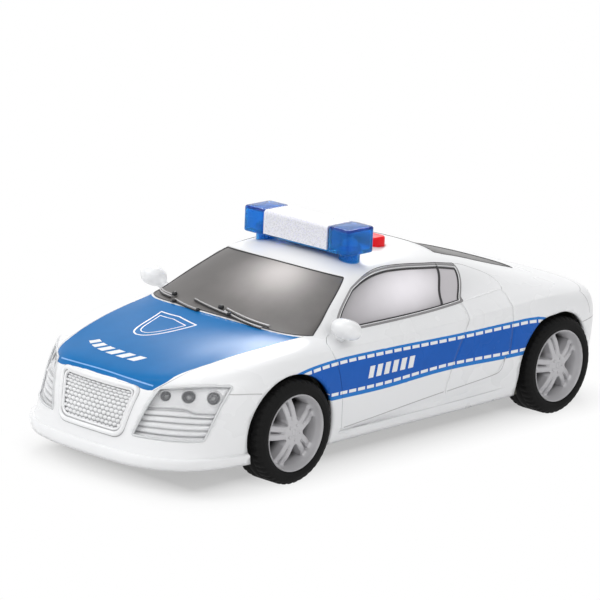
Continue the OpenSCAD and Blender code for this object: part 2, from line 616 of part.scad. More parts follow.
module chassis() color(black) difference() {
    union() {
        difference() {
            translate([0, 0, plate_z]) linear_extrude(plate_t) floor_outline();
            both_sides() for (y = [front_axle_y, rear_axle_y])
                rod(tub_in + tub_t, 70, tub_r, y, axle_z);
        }
        both_sides() {
            wheel_tub(front_axle_y, tub_out_front);
            wheel_tub(rear_axle_y, tub_out_rear);
        }
        translate([-tray_w / 2 - tray_wall, tray_y - tray_d / 2 - tray_wall, plate_z])
            cube([tray_w + 2 * tray_wall, tray_d + 2 * tray_wall, plate_t + cell_h + tray_wall]);
    }
    for (y = [front_axle_y, rear_axle_y]) rod(-40, 40, axle_r + run_gap, y, axle_z);
    translate([-tray_w / 2, tray_y - tray_d / 2, plate_z - 1]) cube([tray_w, tray_d, plate_t + cell_h + 1.2]);
    translate([-tray_w / 2, tray_y - tray_d / 2 - door_tail, plate_z - 1])
        cube([tray_w, tray_d + 2 * door_tail, 1 + door_t]);
    translate([0, tray_y + tray_d / 2 + door_tail / 2 + 0.4, plate_z - 1]) cylinder(h = 10, r = screw_r + run_gap);
    for (k = [0 : 6]) rotate_about(speaker_y, k * 60)
        translate([k == 6 ? 0 : speaker_d / 4, 0, plate_z - 1]) cylinder(h = plate_t + 2, r = 1.5);
    translate([-box_x - seat_gap, box_y0 - seat_gap, plate_z - 1])
        cube([2 * (box_x + seat_gap), box_y1 - box_y0 + 2 * seat_gap, plate_t + 2]);
    both_sides() {
        for (p = [front_post, rear_post]) translate([p[0], p[1], plate_z - 1]) {
            cylinder(h = plate_t + 2, r = screw_r + run_gap);
            cylinder(h = 1 + head_t, r = head_r + seat_gap);
        }
        translate([ear_x, gear_y(1), plate_z - 1]) cylinder(h = plate_t + 2, r = screw_r + run_gap);
    }
}
module rotate_about(y, a) translate([0, y, 0]) rotate(a) children();

door_t = 1.2;
module battery_door() color(black) difference() {
    translate([-tray_w / 2 + seat_gap, tray_y - tray_d / 2 - door_tail + seat_gap, plate_z])
        cube([tray_w - 2 * seat_gap, tray_d + 2 * door_tail - 2 * seat_gap, door_t - 0.05]);
    translate([0, tray_y + tray_d / 2 + door_tail / 2 + 0.4, plate_z - 1]) cylinder(h = 10, r = screw_r + run_gap);
}
module battery_screw() color(steel) translate([0, tray_y + tray_d / 2 + door_tail / 2 + 0.4, plate_z]) {
    translate([0, 0, -head_t]) cylinder(h = head_t - 0.05, r = head_r);
    translate([0, 0, -0.1]) cylinder(h = plate_t + 3, r = screw_r);
}

module cell(k) color(steel) translate([k * pitch, tray_y, plate_z + door_t + 0.1]) {
    cylinder(h = cell_h - 0.6, r = cell_d / 2);
    translate([0, 0, cell_h - 0.7]) cylinder(h = 0.7, r = cell_d / 2 - 1.2);
}
module cell_left() cell(1);
module cell_middle() cell(0);
module cell_right() cell(-1);
contact_w = 5;
contact_t = 0.4;
contact_end = 0.6;
module battery_contact() color(brass)
    translate([-tray_w / 2 + contact_end, tray_y - contact_w / 2, plate_z + door_t + cell_h + 0.2])
        cube([tray_w - 2 * contact_end, contact_w, contact_t]);

speaker_rim = 2;
speaker_cone = 2.2;
speaker_magnet = 2.4;
module speaker() color(grey) translate([0, speaker_y, floor_z + 0.05]) {
    cylinder(h = speaker_rim, r = speaker_d / 2);
    translate([0, 0, speaker_rim - 0.1]) cylinder(h = speaker_cone, r1 = speaker_d / 2 - speaker_rim, r2 = speaker_d / 4);
    translate([0, 0, speaker_rim + speaker_cone - 0.2]) cylinder(h = speaker_magnet, r = speaker_d / 4);
}

module screw(p, z, len) color(steel) translate([p[0], p[1], z]) {
    cylinder(h = head_t - 0.05, r = head_r);
    cylinder(h = len, r = screw_r);
}
module body_screw_front_left() screw(front_post, plate_z, 9);
module body_screw_front_right() screw([-front_post[0], front_post[1]], plate_z, 9);
module body_screw_rear_left() screw(rear_post, plate_z, 9);
module body_screw_rear_right() screw([-rear_post[0], rear_post[1]], plate_z, 9);

// wheels
module axle(y) color(steel) rod(-wheel_out + 1.8, wheel_out - 1.8, axle_r, y, axle_z);
module front_axle() axle(front_axle_y);
module rear_axle() axle(rear_axle_y);

module tyre_at(y) color(black) translate([wheel_in, y, axle_z]) rotate([0, 90, 0]) rotate_extrude($fn = 72)
    polygon([
        [rim_r + run_gap, 0.5], [rim_r + 1.4, 0], [axle_z - 1.6, 0.2], [axle_z - 0.5, 0.9], [axle_z, 2],
        [axle_z, tyre_w * 0.32], [axle_z - 0.6, tyre_w * 0.35], [axle_z - 0.6, tyre_w * 0.4],
        [axle_z, tyre_w * 0.43], [axle_z, tyre_w * 0.57], [axle_z - 0.6, tyre_w * 0.6],
        [axle_z - 0.6, tyre_w * 0.65], [axle_z, tyre_w * 0.68], [axle_z, tyre_w - 2],
        [axle_z - 0.5, tyre_w - 0.9], [axle_z - 1.6, tyre_w - 0.2], [rim_r + 1.4, tyre_w], [rim_r + run_gap, tyre_w - 0.5]]);

hub_r = 3.8;
spoke_lean = 11;
spoke_face = 2.2;
// corner of a spoke at angle a: r out along it, on its left (1) or right (-1) edge
function spoke_at(a, r, side) = r * [cos(a), sin(a)] + side * spoke_w / 2 * [-sin(a), cos(a)];
// cut between the spokes at angles a and b, from radius r0 out to the rim
module spoke_gap(a, b, r0) {
    r1 = rim_r - 1.6;
    translate([0, 0, tyre_w - 5]) linear_extrude(5) polygon(concat(
        [spoke_at(a, r0, 1)],
        [for (k = [0 : 4]) let (c = lerp(a, b, k / 4)) k == 0 ? spoke_at(a, r1, 1) : k == 4 ? spoke_at(b, r1, -1) :
            r1 * [cos(c), sin(c)]],
        [spoke_at(b, r0, -1)]));
}
module rim_at(y) color(silver) translate([wheel_in, y, axle_z]) rotate([0, 90, 0]) difference() {
    step = 360 / spoke_pairs;
    union() {
        difference() {
            translate([0, 0, 0.8]) cylinder(h = tyre_w - 1.5, r = rim_r);
            translate([0, 0, -1]) cylinder(h = tyre_w - 2.6, r = rim_r - 1.3);
            translate([0, 0, tyre_w - 3.6 + spoke_face]) cylinder(h = 5, r = rim_r - 1.3);
            for (k = [0 : spoke_pairs - 1]) {
                spoke_gap(k * step + spoke_lean, (k + 1) * step - spoke_lean, hub_r);
                spoke_gap(k * step - spoke_lean, k * step + spoke_lean, spoke_w / 2 / sin(spoke_lean) + 0.3);
            }
        }
        translate([0, 0, 2]) cylinder(h = tyre_w - 2.9, r = hub_r + 0.4);
        for (k = [0 : spoke_pairs - 1]) rotate((k + 0.5) * step)
            translate([hub_r - 1, 0, tyre_w - 1.2]) cylinder(h = 0.6, r = 0.55, $fn = 16);
    }
    translate([0, 0, -1]) cylinder(h = tyre_w - 0.7, r = axle_r + 0.02);
}
module rim_front_left() rim_at(front_axle_y);
module rim_front_right() mirror([1, 0, 0]) rim_at(front_axle_y);
module rim_rear_left() rim_at(rear_axle_y);
module rim_rear_right() mirror([1, 0, 0]) rim_at(rear_axle_y);
module tyre_front_left() tyre_at(front_axle_y);
module tyre_front_right() mirror([1, 0, 0]) tyre_at(front_axle_y);
module tyre_rear_left() tyre_at(rear_axle_y);
module tyre_rear_right() mirror([1, 0, 0]) tyre_at(rear_axle_y);

// friction drive: axle gear, middle gear pair and flywheel on one level
function gear_y(k) = rear_axle_y - k * gear_d;
function involute(a) = tan(a) - a * PI / 180;

// half angle of a tooth at radius q
function half_tooth(n, q) =
    let (rp = gear_m * n / 2, rb = rp * cos(pressure), a = acos(min(1, rb / max(q, rb))))
    90 / n - backlash / 2 / rp * 180 / PI / 2 + (involute(pressure) - involute(a)) * 180 / PI;

module gear(n, w, turn) {
    rf = gear_m * (n / 2 - tooth_ded);
    ra = gear_m * (n / 2 + tooth_add);
    steps = 4;
    up = [for (k = [0 : steps]) lerp(max(rf + 0.05, gear_m * n / 2 * cos(pressure)), ra, k / steps)];
    function spot(q, a) = [q * cos(a), q * sin(a)];
    rotate(turn) linear_extrude(w) polygon([for (k = [0 : n - 1]) let (c = k * 360 / n) each concat(
        [spot(rf, c - half_tooth(n, up[0]) - 2)],
        [for (q = up) spot(q, c - half_tooth(n, q))],
        [for (j = [0 : steps]) let (q = up[steps - j]) spot(q, c + half_tooth(n, q))],
        [spot(rf, c + half_tooth(n, up[0]) + 2)])]);
}

// gear along X starting at x0; turn is measured from straight back
module gear_at(k, x0, n, w, turn) translate([x0, gear_y(k), axle_z]) rotate([0, 90, 0]) rotate([0, 0, 90]) gear(n, w, turn);

module axle_gear() color(white) difference() {
    union() {
        gear_at(0, -9, wheel_teeth, 4, 180 / wheel_teeth * (wheel_teeth % 2));
        rod(-10.4, -4.8, 2.6, gear_y(0), axle_z);
    }
    rod(-20, 20, axle_r + 0.02, gear_y(0), axle_z);
}

module middle_gear() color(white) {
    gear_at(1, -9.2, pinion_teeth, 5, 180 / pinion_teeth);
    gear_at(1, -4.3, wheel_teeth, 3, 180 / wheel_teeth * (wheel_teeth % 2));
    rod(-box_x + 0.2, box_x - 0.2, pin_r, gear_y(1), axle_z);
}

module flywheel() color(steel) {
    gear_at(2, -4.6, pinion_teeth, 3.7, 180 / pinion_teeth);
    rod(1, 1 + flywheel_w, flywheel_d / 2, gear_y(2), axle_z);
    rod(-box_x + 0.2, box_x - 0.2, pin_r, gear_y(2), axle_z);
}

module gear_bores() {
    rod(-box_x - 1, box_x + 1, axle_r + run_gap, gear_y(0), axle_z);
    for (k = [1, 2]) rod(-box_x + 0.1, box_x - 0.1, pin_r + run_gap, gear_y(k), axle_z);
}

module gearbox_part(z0, z1, open_up) difference() {
    union() {
        translate([-box_x, box_y0, z0]) cube([2 * box_x, box_y1 - box_y0, z1 - z0]);
        both_sides() {
            translate([ear_x, gear_y(1), max(z0, floor_z + 0.05)]) cylinder(h = (open_up ? z1 : z0 + 2) - max(z0, floor_z + 0.05), r = ear_r);
            translate([box_x - 1, gear_y(1) - ear_r, max(z0, floor_z + 0.05)])
                cube([ear_x - box_x + 1, 2 * ear_r, (open_up ? z1 : z0 + 2) - max(z0, floor_z + 0.05)]);
        }
    }
    translate([-box_x + box_wall, box_y0 + box_wall, open_up ? z0 + 1 : z0 - 1])
        cube([2 * (box_x - box_wall), box_y1 - box_y0 - 2 * box_wall, z1 - z0]);
    gear_bores();
    both_sides() translate([ear_x, gear_y(1), z0 - 1]) cylinder(h = z1 - z0 + 2, r = screw_r + run_gap);
}
module gearbox_base() color(grey) gearbox_part(box_bottom, axle_z, true);
module gearbox_cover() color(grey) gearbox_part(axle_z, box_top, false);

module gearbox_screw_at(s) color(steel) translate([s * ear_x, gear_y(1), axle_z + 2.05]) {
    cylinder(h = head_t, r = head_r);
    translate([0, 0, -axle_z - 2.05 + plate_z + 0.4]) cylinder(h = axle_z + 2.2 - plate_z, r = screw_r);
}
module gearbox_screw_left() gearbox_screw_at(1);
module gearbox_screw_right() gearbox_screw_at(-1);

body_shell();
chassis();
windscreen();
side_window_left();
side_window_right();
rear_window();
headlight_lens_left();
headlight_lens_right();
headlight_bowl_left();
headlight_bowl_right();
grille();
tail_light_left();
tail_light_right();
mirror_left();
mirror_right();
wiper_left();
wiper_right();
light_bar_lens();
light_bar_sleeve();
light_post_left();
light_post_right();
led_left();
led_right();
roof_button();
switch_dome();
circuit_board();
speaker();
cell_left();
cell_middle();
cell_right();
battery_contact();
battery_door();
battery_screw();
front_axle();
rear_axle();
rim_front_left();
rim_front_right();
rim_rear_left();
rim_rear_right();
tyre_front_left();
tyre_front_right();
tyre_rear_left();
tyre_rear_right();
axle_gear();
middle_gear();
flywheel();
gearbox_base();
gearbox_cover();
gearbox_screw_left();
gearbox_screw_right();
body_screw_front_left();
body_screw_front_right();
body_screw_rear_left();
body_screw_rear_right();
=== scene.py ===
"""Toy police car: smooth body, glass, lamps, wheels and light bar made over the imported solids.

Shape functions work in millimetres and add_piece writes metres. A place on the body skin is (t, v):
t runs round the car from the nose (0) along the left side to the tail (11) and back along the right
side (22), v runs from the lower edge (0) to the roof centre line (15).
"""

import math

import bpy
import numpy as np
from bpy.props import FloatProperty, FloatVectorProperty, IntProperty, PointerProperty
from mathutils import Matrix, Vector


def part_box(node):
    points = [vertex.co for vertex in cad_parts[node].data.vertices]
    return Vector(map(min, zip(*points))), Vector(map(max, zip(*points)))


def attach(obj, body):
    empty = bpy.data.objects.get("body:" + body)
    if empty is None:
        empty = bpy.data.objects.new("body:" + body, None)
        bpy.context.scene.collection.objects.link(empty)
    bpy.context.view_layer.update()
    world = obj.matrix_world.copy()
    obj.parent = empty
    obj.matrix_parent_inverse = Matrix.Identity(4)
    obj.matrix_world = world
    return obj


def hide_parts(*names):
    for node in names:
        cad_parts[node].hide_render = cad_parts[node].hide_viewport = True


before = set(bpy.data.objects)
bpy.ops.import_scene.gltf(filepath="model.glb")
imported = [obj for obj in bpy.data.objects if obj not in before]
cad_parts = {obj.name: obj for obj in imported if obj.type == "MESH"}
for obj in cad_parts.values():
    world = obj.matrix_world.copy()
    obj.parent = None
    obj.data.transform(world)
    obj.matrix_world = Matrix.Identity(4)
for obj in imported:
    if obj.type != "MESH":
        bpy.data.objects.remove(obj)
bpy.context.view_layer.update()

bl_info = {
    "name": "Toy police car",
    "version": (1, 0, 0),
    "blender": (4, 5, 0),
    "location": "View3D > Sidebar > Police car",
    "description": "Builds the visible pieces of a toy police car round its solids",
    "category": "Object",
}

MM = 0.001
CAR = "car"
T_END, V_END = 11, 15

# Rings of the body skin from the lower edge to the roof, left half from nose to tail: half widths,
# places from the middle of the wheelbase and heights.
RINGS = np.array([
    [[0, 18, 33.2, 42.8, 45, 43.8, 43.8, 44.2, 45.5, 42, 24, 0],
     [-115, -115, -109.2, -95, -66, -46, -12, 20, 62, 91, 101.5, 103],
     [9, 9, 9, 9.3, 9.5, 9.5, 9.5, 9.5, 10.5, 11, 11, 11]],
    [[0, 18, 33.8, 43.4, 45.6, 44.6, 44.6, 44.9, 46, 42.5, 24, 0],
     [-115, -115, -109.8, -95.6, -66, -46, -12, 20, 62, 91.5, 102.5, 104],
     [12, 12, 12, 12.2, 12.5, 12.5, 12.5, 12.5, 13.5, 14, 14.5, 14.5]],
    [[0, 18, 33, 42.5, 45.2, 44.2, 44, 44.4, 46, 42.6, 24.3, 0],
     [-113.2, -113.2, -107.4, -93.8, -66, -46, -12, 20, 62, 91.7, 102.8, 104.2],
     [13.2, 13.2, 13.2, 13.4, 13.8, 13.6, 13.6, 13.6, 14.6, 15.4, 16, 16]],
    [[0, 18, 32.4, 42.5, 46.2, 44.4, 43.7, 44.2, 46.8, 43.4, 24.5, 0],
     [-112.8, -112.6, -105.8, -92.8, -66, -46, -12, 20, 62, 92.4, 104.1, 105.5],
     [20, 20, 20, 20, 21, 21, 21, 21, 22, 24, 25, 25]],
    [[0, 18, 31.6, 42.3, 46.8, 44.5, 43.6, 44.2, 47, 43.7, 24.6, 0],
     [-111.2, -110.7, -104, -91.8, -66, -46, -12, 20, 62, 92.2, 104.1, 105.5],
     [28, 28, 28, 28.5, 29.5, 29, 29, 29, 31, 31, 31, 31]],
    [[0, 18, 30.6, 41.4, 46.3, 44.2, 43.6, 44, 47, 43.4, 24.5, 0],
     [-109.6, -109, -101.8, -89.8, -66, -46, -12, 20, 62, 91.4, 102.2, 103.4],
     [33, 33, 33.4, 34.6, 36, 35.5, 35.5, 35.7, 38, 36.4, 36, 36]],
    [[0, 17.4, 28.4, 38.8, 43.2, 42.6, 42.2, 42.8, 44.6, 41.2, 24, 0],
     [-107.6, -107, -99, -86.5, -66, -46, -12, 20, 62, 88.8, 99.8, 101],
     [35.2, 35.4, 36.4, 39.4, 41.4, 40.4, 40, 40.4, 42.6, 39.8, 39, 39]],
    [[0, 15.8, 24.6, 33.6, 39, 40.2, 40.2, 40.3, 39.6, 36, 22, 0],
     [-103.6, -103, -95.4, -82, -62, -46, -12, 20, 60, 83.5, 94.5, 96],
     [36.4, 36.5, 37.4, 40.3, 42.8, 42.4, 42.2, 43, 45.2, 42, 40.4, 40.2]],
    [[0, 13, 21.5, 29.5, 35.8, 38.6, 39, 38.6, 34.4, 28, 16, 0],
     [-87, -86.6, -82, -73, -57, -46.5, -13, 20, 52, 67.5, 73, 73.6],
     [40, 40.1, 40.5, 41.8, 43.2, 43.7, 43.9, 44.8, 48.4, 46.6, 46, 46]],
    [[0, 10, 19, 27.2, 33.4, 36.8, 37.9, 37, 30.8, 23, 12, 0],
     [-61, -60.6, -58.6, -55.2, -51.2, -47.4, -14, 20, 42, 48.6, 50.5, 50.7],
     [43.4, 43.4, 43.6, 43.9, 44.3, 44.8, 45.3, 46.2, 51.2, 51.8, 52.1, 52.2]],
    [[0, 9.5, 18, 25.6, 31, 33.6, 34.6, 33.7, 28, 20, 10, 0],
     [-45, -44.7, -43.2, -40.6, -37.8, -34.6, -10, 17, 33.5, 36.8, 37.6, 37.7],
     [52.4, 52.3, 52.1, 51.8, 51.6, 51.7, 52.4, 52.3, 54.8, 56, 56.4, 56.5]],
    [[0, 8.8, 17, 24, 28.4, 30.2, 31, 30.2, 25.2, 17.6, 8.8, 0],
     [-30.6, -30.4, -29.6, -27.8, -25, -21.4, -4, 13, 23.6, 26.4, 27, 27.1],
     [59.6, 59.5, 59.2, 58.6, 57.7, 57.4, 58, 57.2, 57.5, 59, 59.5, 59.6]],
    [[0, 8, 15.4, 21.4, 25, 26.4, 27, 26.4, 22.4, 15.8, 8, 0],
     [-26, -25.8, -25, -23.4, -21, -17.6, -3, 11, 19.6, 22, 22.6, 22.7],
     [61, 60.9, 60.7, 60.3, 59.8, 59.7, 60.1, 59.3, 59.2, 60.2, 60.7, 60.8]],
    [[0, 5, 9.5, 13, 14.8, 15.3, 15.5, 15, 12.5, 9, 4.5, 0],
     [-15, -15, -14.6, -14, -13, -10, -2, 6, 11, 13, 13.3, 13.3],
     [62.4, 62.4, 62.3, 62.2, 62.1, 62, 62.1, 61.8, 61.7, 61.9, 62.1, 62.1]],
    [[0] * 12,
     [-7, -7, -7, -6.5, -6, -5, -1, 3, 5, 6, 6, 6],
     [62.9] * 12],
])
MID_WHEELBASE = 5.0


def node_box(node):
    """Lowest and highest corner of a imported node, in millimetres."""
    low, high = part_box(node)
    return np.array(low) / MM, np.array(high) / MM


# ---------------------------------------------------------------------------------------------
# Body skin
# ---------------------------------------------------------------------------------------------

def control_net():
    """Control points (18, 14, 3): the rings, the lower edge held three times, mirrored past the roof,
    the nose and the tail."""
    net = RINGS.transpose(0, 2, 1) + [0, MID_WHEELBASE, 0]
    flip = np.array([-1, 1, 1])
    net = np.concatenate([net[:1], net[:1], net, net[-2:-1] * flip])
    return np.concatenate([net[:, 1:2] * flip, net, net[:, -2:-1] * flip], 1)


NET = control_net()


def weights(f):
    """Uniform cubic B-spline weights at fraction f of a span."""
    return ((1 - f) ** 3 / 6, (3 * f ** 3 - 6 * f ** 2 + 4) / 6,
            (-3 * f ** 3 + 3 * f ** 2 + 3 * f + 1) / 6, f ** 3 / 6)


def skin(t, v):
    """Skin point: the tensor product of B-spline weights in t and v over 4 by 4 control points; the
    right side is the left one with x reversed."""
    t, v = np.broadcast_arrays(np.mod(np.asarray(t, float), 2 * T_END), np.asarray(v, float))
    right = t > T_END
    t = np.where(right, 2 * T_END - t, t)
    i = np.clip(t.astype(int), 0, T_END - 1)
    j = np.clip(v.astype(int), 0, V_END - 1)
    a, b = weights(t - i), weights(v - j)
    point = sum((b[q] * a[p])[..., None] * NET[j + q, i + p] for q in range(4) for p in range(4))
    point[..., 0] *= np.where(right, -1, 1)
    return point


def unit(a):
    """Vectors scaled to length 1."""
    return a / np.maximum(np.linalg.norm(a, axis=-1, keepdims=True), 1e-9)


def normal(t, v):
    """Outward direction: the cross product of the steps along t and v."""
    h = 0.02
    t, v = np.broadcast_arrays(np.asarray(t, float), np.minimum(v, V_END - 0.4))
    along = skin(t + h, v) - skin(t - h, v)
    up = skin(t, v + h) - skin(t, np.maximum(v - h, 0))
    return unit(np.cross(along, up))


def lift(t, v, d):
    """Skin point moved out by d."""
    return skin(t, v) + np.asarray(d, float)[..., None] * normal(t, v)


def curve(x, xs, ys):
    """Smooth line through given points: cubic pieces whose end slopes are those of the points' neighbours."""
    xs, ys = np.asarray(xs, float), np.asarray(ys, float)
    slope = np.gradient(ys, xs)
    x = np.clip(x, xs[0], xs[-1])
    i = np.clip(np.searchsorted(xs, x) - 1, 0, len(xs) - 2)
    w = xs[i + 1] - xs[i]
    f = (x - xs[i]) / w
    return ((1 + 2 * f) * (1 - f) ** 2 * ys[i] + f * (1 - f) ** 2 * w * slope[i]
            + f * f * (3 - 2 * f) * ys[i + 1] - f * f * (1 - f) * w * slope[i + 1])


def blend(a, b, f):
    """a at f = 0, b at f = 1, straight between."""
    return a + (b - a) * f


def step(x, low, high):
    """0 below low, 1 above high, smooth between."""
    f = np.clip((x - low) / (high - low), 0, 1)
    return f * f * (3 - 2 * f)


# Outlines on the skin: s along or across, r upwards, both 0 to 1.
def screen_at(s, r):
    """Windscreen: from a bowed foot to a level top edge, its half width a smooth line of r."""
    foot = 10.2 - 0.62 * np.abs(2 * s - 1) ** 2.4
    half = curve(r, [0, 0.3, 0.6, 0.85, 1, 1.1], [4.55, 4.52, 4.2, 3.92, 3.8, 3.73])
    return (2 * s - 1) * half, blend(foot, 12.25, r)


def back_at(s, r):
    """Rear window: level edges, its half width about the tail's middle a smooth line of r."""
    half = curve(r, [0, 0.4, 0.85, 1], [1.65, 1.9, 2.35, 2.4])
    return T_END + (2 * s - 1) * half, blend(9.15, 12, r)


def window_at(s, r):
    """Side window: from a sloping foot to the roof line, leaning more towards its rear end."""
    top = curve(s, [0, 0.115, 0.21, 0.3, 0.453, 0.647, 0.8, 0.91, 1],
                [11.65, 12.12, 12.42, 12.55, 12.5, 12.24, 11.88, 11.5, 11.15])
    along = curve(s, [-0.1, 0, 0.115, 0.21, 0.3, 0.453, 0.647, 0.8, 0.91, 1, 1.1],
                  [4.62, 4.8, 5.01, 5.31, 5.62, 6.16, 6.84, 7.38, 7.66, 7.86, 8.06])
    foot_t, foot_v = blend(5.25, 7.06, s), blend(9.48, 9.0, s)
    lean = r + s ** 4 * (r * np.abs(r) - r)
    return blend(foot_t, along, lean), blend(foot_v, top, r)


def lamp_at(s, r):
    """Headlight: four-sided, with a bowed top edge."""
    top = curve(s, [0, 0.35, 0.7, 1], [6.22, 6.36, 6.3, 6.12])
    return blend(blend(1.05, 2.53, s), blend(1.46, 2.92, s), r), blend(3.75, top, r)


def grille_at(s, r):
    """Grille: level edges, widening evenly upwards."""
    return (2 * s - 1) * blend(0.75, 0.96, r), blend(3.7, 5.9, r)


def tail_at(s, r):
    """Tail light: straight edges along t and v."""
    return blend(9.5, 10.5, s), blend(5.15, 6.2, r)


# Width and height of each outline in millimetres.
SIZE = {screen_at: (62, 22), back_at: (38, 30), window_at: (55, 14), lamp_at: (28, 15),
        grille_at: (31, 14), tail_at: (21, 6)}


def evenly(t, v, count, soften=0.0, closed=True):
    """Places spread evenly along a line on the skin; soften rounds its corners by a running mean of that
    length in millimetres."""
    if closed:
        t, v = np.append(t, t[0]), np.append(v, v[0])
    walk = np.append(0, np.cumsum(np.linalg.norm(np.diff(skin(t, v), axis=0), axis=1)))
    place = np.linspace(0, walk[-1], count, endpoint=not closed)
    t, v = np.interp(place, walk, t), np.interp(place, walk, v)
    k = int(soften / (walk[-1] / count))
    if closed and k > 1:
        mean = np.ones(k) / k
        t, v = (np.convolve(np.concatenate([a[-k:], a, a[:k]]), mean, "same")[k:-k] for a in (t, v))
    return t, v


def outline(at, inset=0.0, count=480, soften=0.0):
    """Closed line round an outline, inset in millimetres."""
    per_side = 120
    f = np.linspace(0, 1, per_side + 1)[:-1]
    start, end = np.zeros(per_side), np.ones(per_side)
    s = np.concatenate([f, end, 1 - f, start])
    r = np.concatenate([start, f, end, 1 - f])
    ds, dr = inset / SIZE[at][0], inset / SIZE[at][1]
    t, v = at(blend(ds, 1 - ds, s), blend(dr, 1 - dr, r))
    return evenly(t, v, count, soften)


def mirror_t(t):
    """The same place on the other side of the car."""
    return 2 * T_END - t


# ---------------------------------------------------------------------------------------------
# Shapes: points (n, 3) and a list of arrays of face corners
# ---------------------------------------------------------------------------------------------

def unit_grid(columns, rows):
    """Grid of places s and r from 0 to 1 over an outline."""
    return np.meshgrid(np.linspace(0, 1, columns), np.linspace(0, 1, rows))


def grid_faces(rows, cols, wrap=False, wrap_rows=False):
    """Quads of a grid; wrap joins the last column to the first, wrap_rows the last row to the first."""
    r, c = np.meshgrid(np.arange(rows if wrap_rows else rows - 1), np.arange(cols if wrap else cols - 1),
                       indexing="ij")
    e, d = (r + 1) % rows, (c + 1) % cols
    return np.stack([r * cols + c, r * cols + d, e * cols + d, e * cols + c], -1).reshape(-1, 4)


def outward(points, faces):
    """The shape with its faces turned outwards: the sum of signed cone volumes is positive."""
    total = sum(np.einsum("ij,ij->", points[f[:, 0]], np.cross(points[f[:, k]], points[f[:, k + 1]]))
                for f in faces for k in range(1, f.shape[1] - 1))
    return points, faces if total > 0 else [f[:, ::-1] for f in faces]


def inward(shape):
    """The shape with its faces turned, for the inside of a hollow."""
    return shape[0], [f[:, ::-1] for f in shape[1]]


def join(*shapes):
    """Several shapes as one, the face corners counted on from shape to shape."""
    starts = np.cumsum([0] + [len(s[0]) for s in shapes])
    return (np.concatenate([s[0] for s in shapes]),
            [f + start for s, start in zip(shapes, starts) for f in s[1]])


def ring_solid(rings):
    """Closed solid through rings of points (rows): quads between rings and a fan on each end ring."""
    rows, cols = rings.shape[:2]
    n = rows * cols
    c = np.arange(cols)
    d = (c + 1) % cols
    ends = rings[[0, -1]].mean(1)
    return outward(np.concatenate([rings.reshape(-1, 3), ends]),
                   [grid_faces(rows, cols, True), np.stack([np.full(cols, n), d, c], -1),
                    np.stack([np.full(cols, n + 1), n - cols + c, n - cols + d], -1)])


def loop_solid(rings):
    """Closed ring: a profile (columns) carried round a closed path (rows)."""
    return outward(rings.reshape(-1, 3), [grid_faces(*rings.shape[:2], True, True)])


def slab(top, bottom):
    """Closed plate between two grids: both faces and a wall round the four sides."""
    rows, cols = top.shape[:2]
    n = rows * cols
    face = grid_faces(rows, cols)
    index = np.arange(n).reshape(rows, cols)
    rim = np.concatenate([index[0], index[1:, -1], index[-1, -2::-1], index[-2:0:-1, 0]])
    after = np.roll(rim, -1)
    return outward(np.concatenate([top.reshape(-1, 3), bottom.reshape(-1, 3)]),
                   [face, face[:, ::-1] + n, np.stack([after, rim, rim + n, after + n], -1)])


def mirrored(shape):
    """The shape on the other side of the car."""
    return shape[0] * [-1, 1, 1], [f[:, ::-1] for f in shape[1]]


def rounded_box(low, high, corner, edge, per_corner=7, per_edge=5):
    """Box with round corners in plan and round top and bottom edges: the plan outline, pulled in by
    edge (1 - sin a) at height edge (1 - cos a) from each end."""
    low, high = np.asarray(low, float), np.asarray(high, float)
    a = np.linspace(0, math.pi / 2, per_edge)
    pull = np.concatenate([edge * (1 - np.sin(a)), edge * (1 - np.sin(a[::-1]))])
    z = np.concatenate([low[2] + edge * (1 - np.cos(a)), high[2] - edge * (1 - np.cos(a[::-1]))])
    k = np.arange(4)[:, None]
    turn = (k + np.linspace(0, 1, per_corner)) * math.pi / 2
    sx, sy = np.array([1, -1, -1, 1])[:, None], np.array([1, 1, -1, -1])[:, None]
    half = (high - low) / 2
    mid = (high + low) / 2
    radius = np.maximum(corner - pull, 0.05)[:, None, None]
    x = mid[0] + sx * (half[0] - pull[:, None, None] - radius) + radius * np.cos(turn)
    y = mid[1] + sy * (half[1] - pull[:, None, None] - radius) + radius * np.sin(turn)
    rings = np.stack([x, y, np.broadcast_to(z[:, None, None], x.shape)], -1)
    return ring_solid(rings.reshape(len(z), -1, 3))


def bump_profile(width, height, sink, count=9):
    """Half-round section of a bead lying on the skin, with its foot sunk."""
    a = np.linspace(0, math.pi, count)
    arc = np.stack([width / 2 * np.cos(a), height * np.sin(a)], -1)
    return np.concatenate([arc, [[-width / 2, -sink], [width / 2, -sink]]])


def bead(t, v, width, height, sink=0.3, closed=True, raised=0.0):
    """A half-round profile carried along a line on the skin, its height along the skin's normal."""
    path, up = lift(t, v, raised), normal(t, v)
    if closed:
        along = np.roll(path, -1, 0) - np.roll(path, 1, 0)
    else:
        along = np.gradient(path, axis=0)
    side = unit(np.cross(unit(along), up))
    p = bump_profile(width, height, sink)
    rings = path[:, None] + side[:, None] * p[:, :1] + up[:, None] * p[:, 1:]
    return loop_solid(rings) if closed else ring_solid(rings)


def rod(path, radius, sides=10):
    """A circle carried along an open path in space, with a fan on each end; radius may vary along it."""
    path = np.asarray(path, float)
    along = unit(np.gradient(path, axis=0))
    side = unit(np.cross(along, np.where(np.abs(along[:, 2:3]) > 0.9, [1, 0, 0], [0, 0, 1])))
    up = np.cross(side, along)
    a = np.linspace(0, 2 * math.pi, sides, endpoint=False)
    r = np.broadcast_to(radius, len(path))[:, None, None]
    rings = path[:, None] + r * (np.cos(a)[:, None] * side[:, None] + np.sin(a)[:, None] * up[:, None])
    return ring_solid(rings)


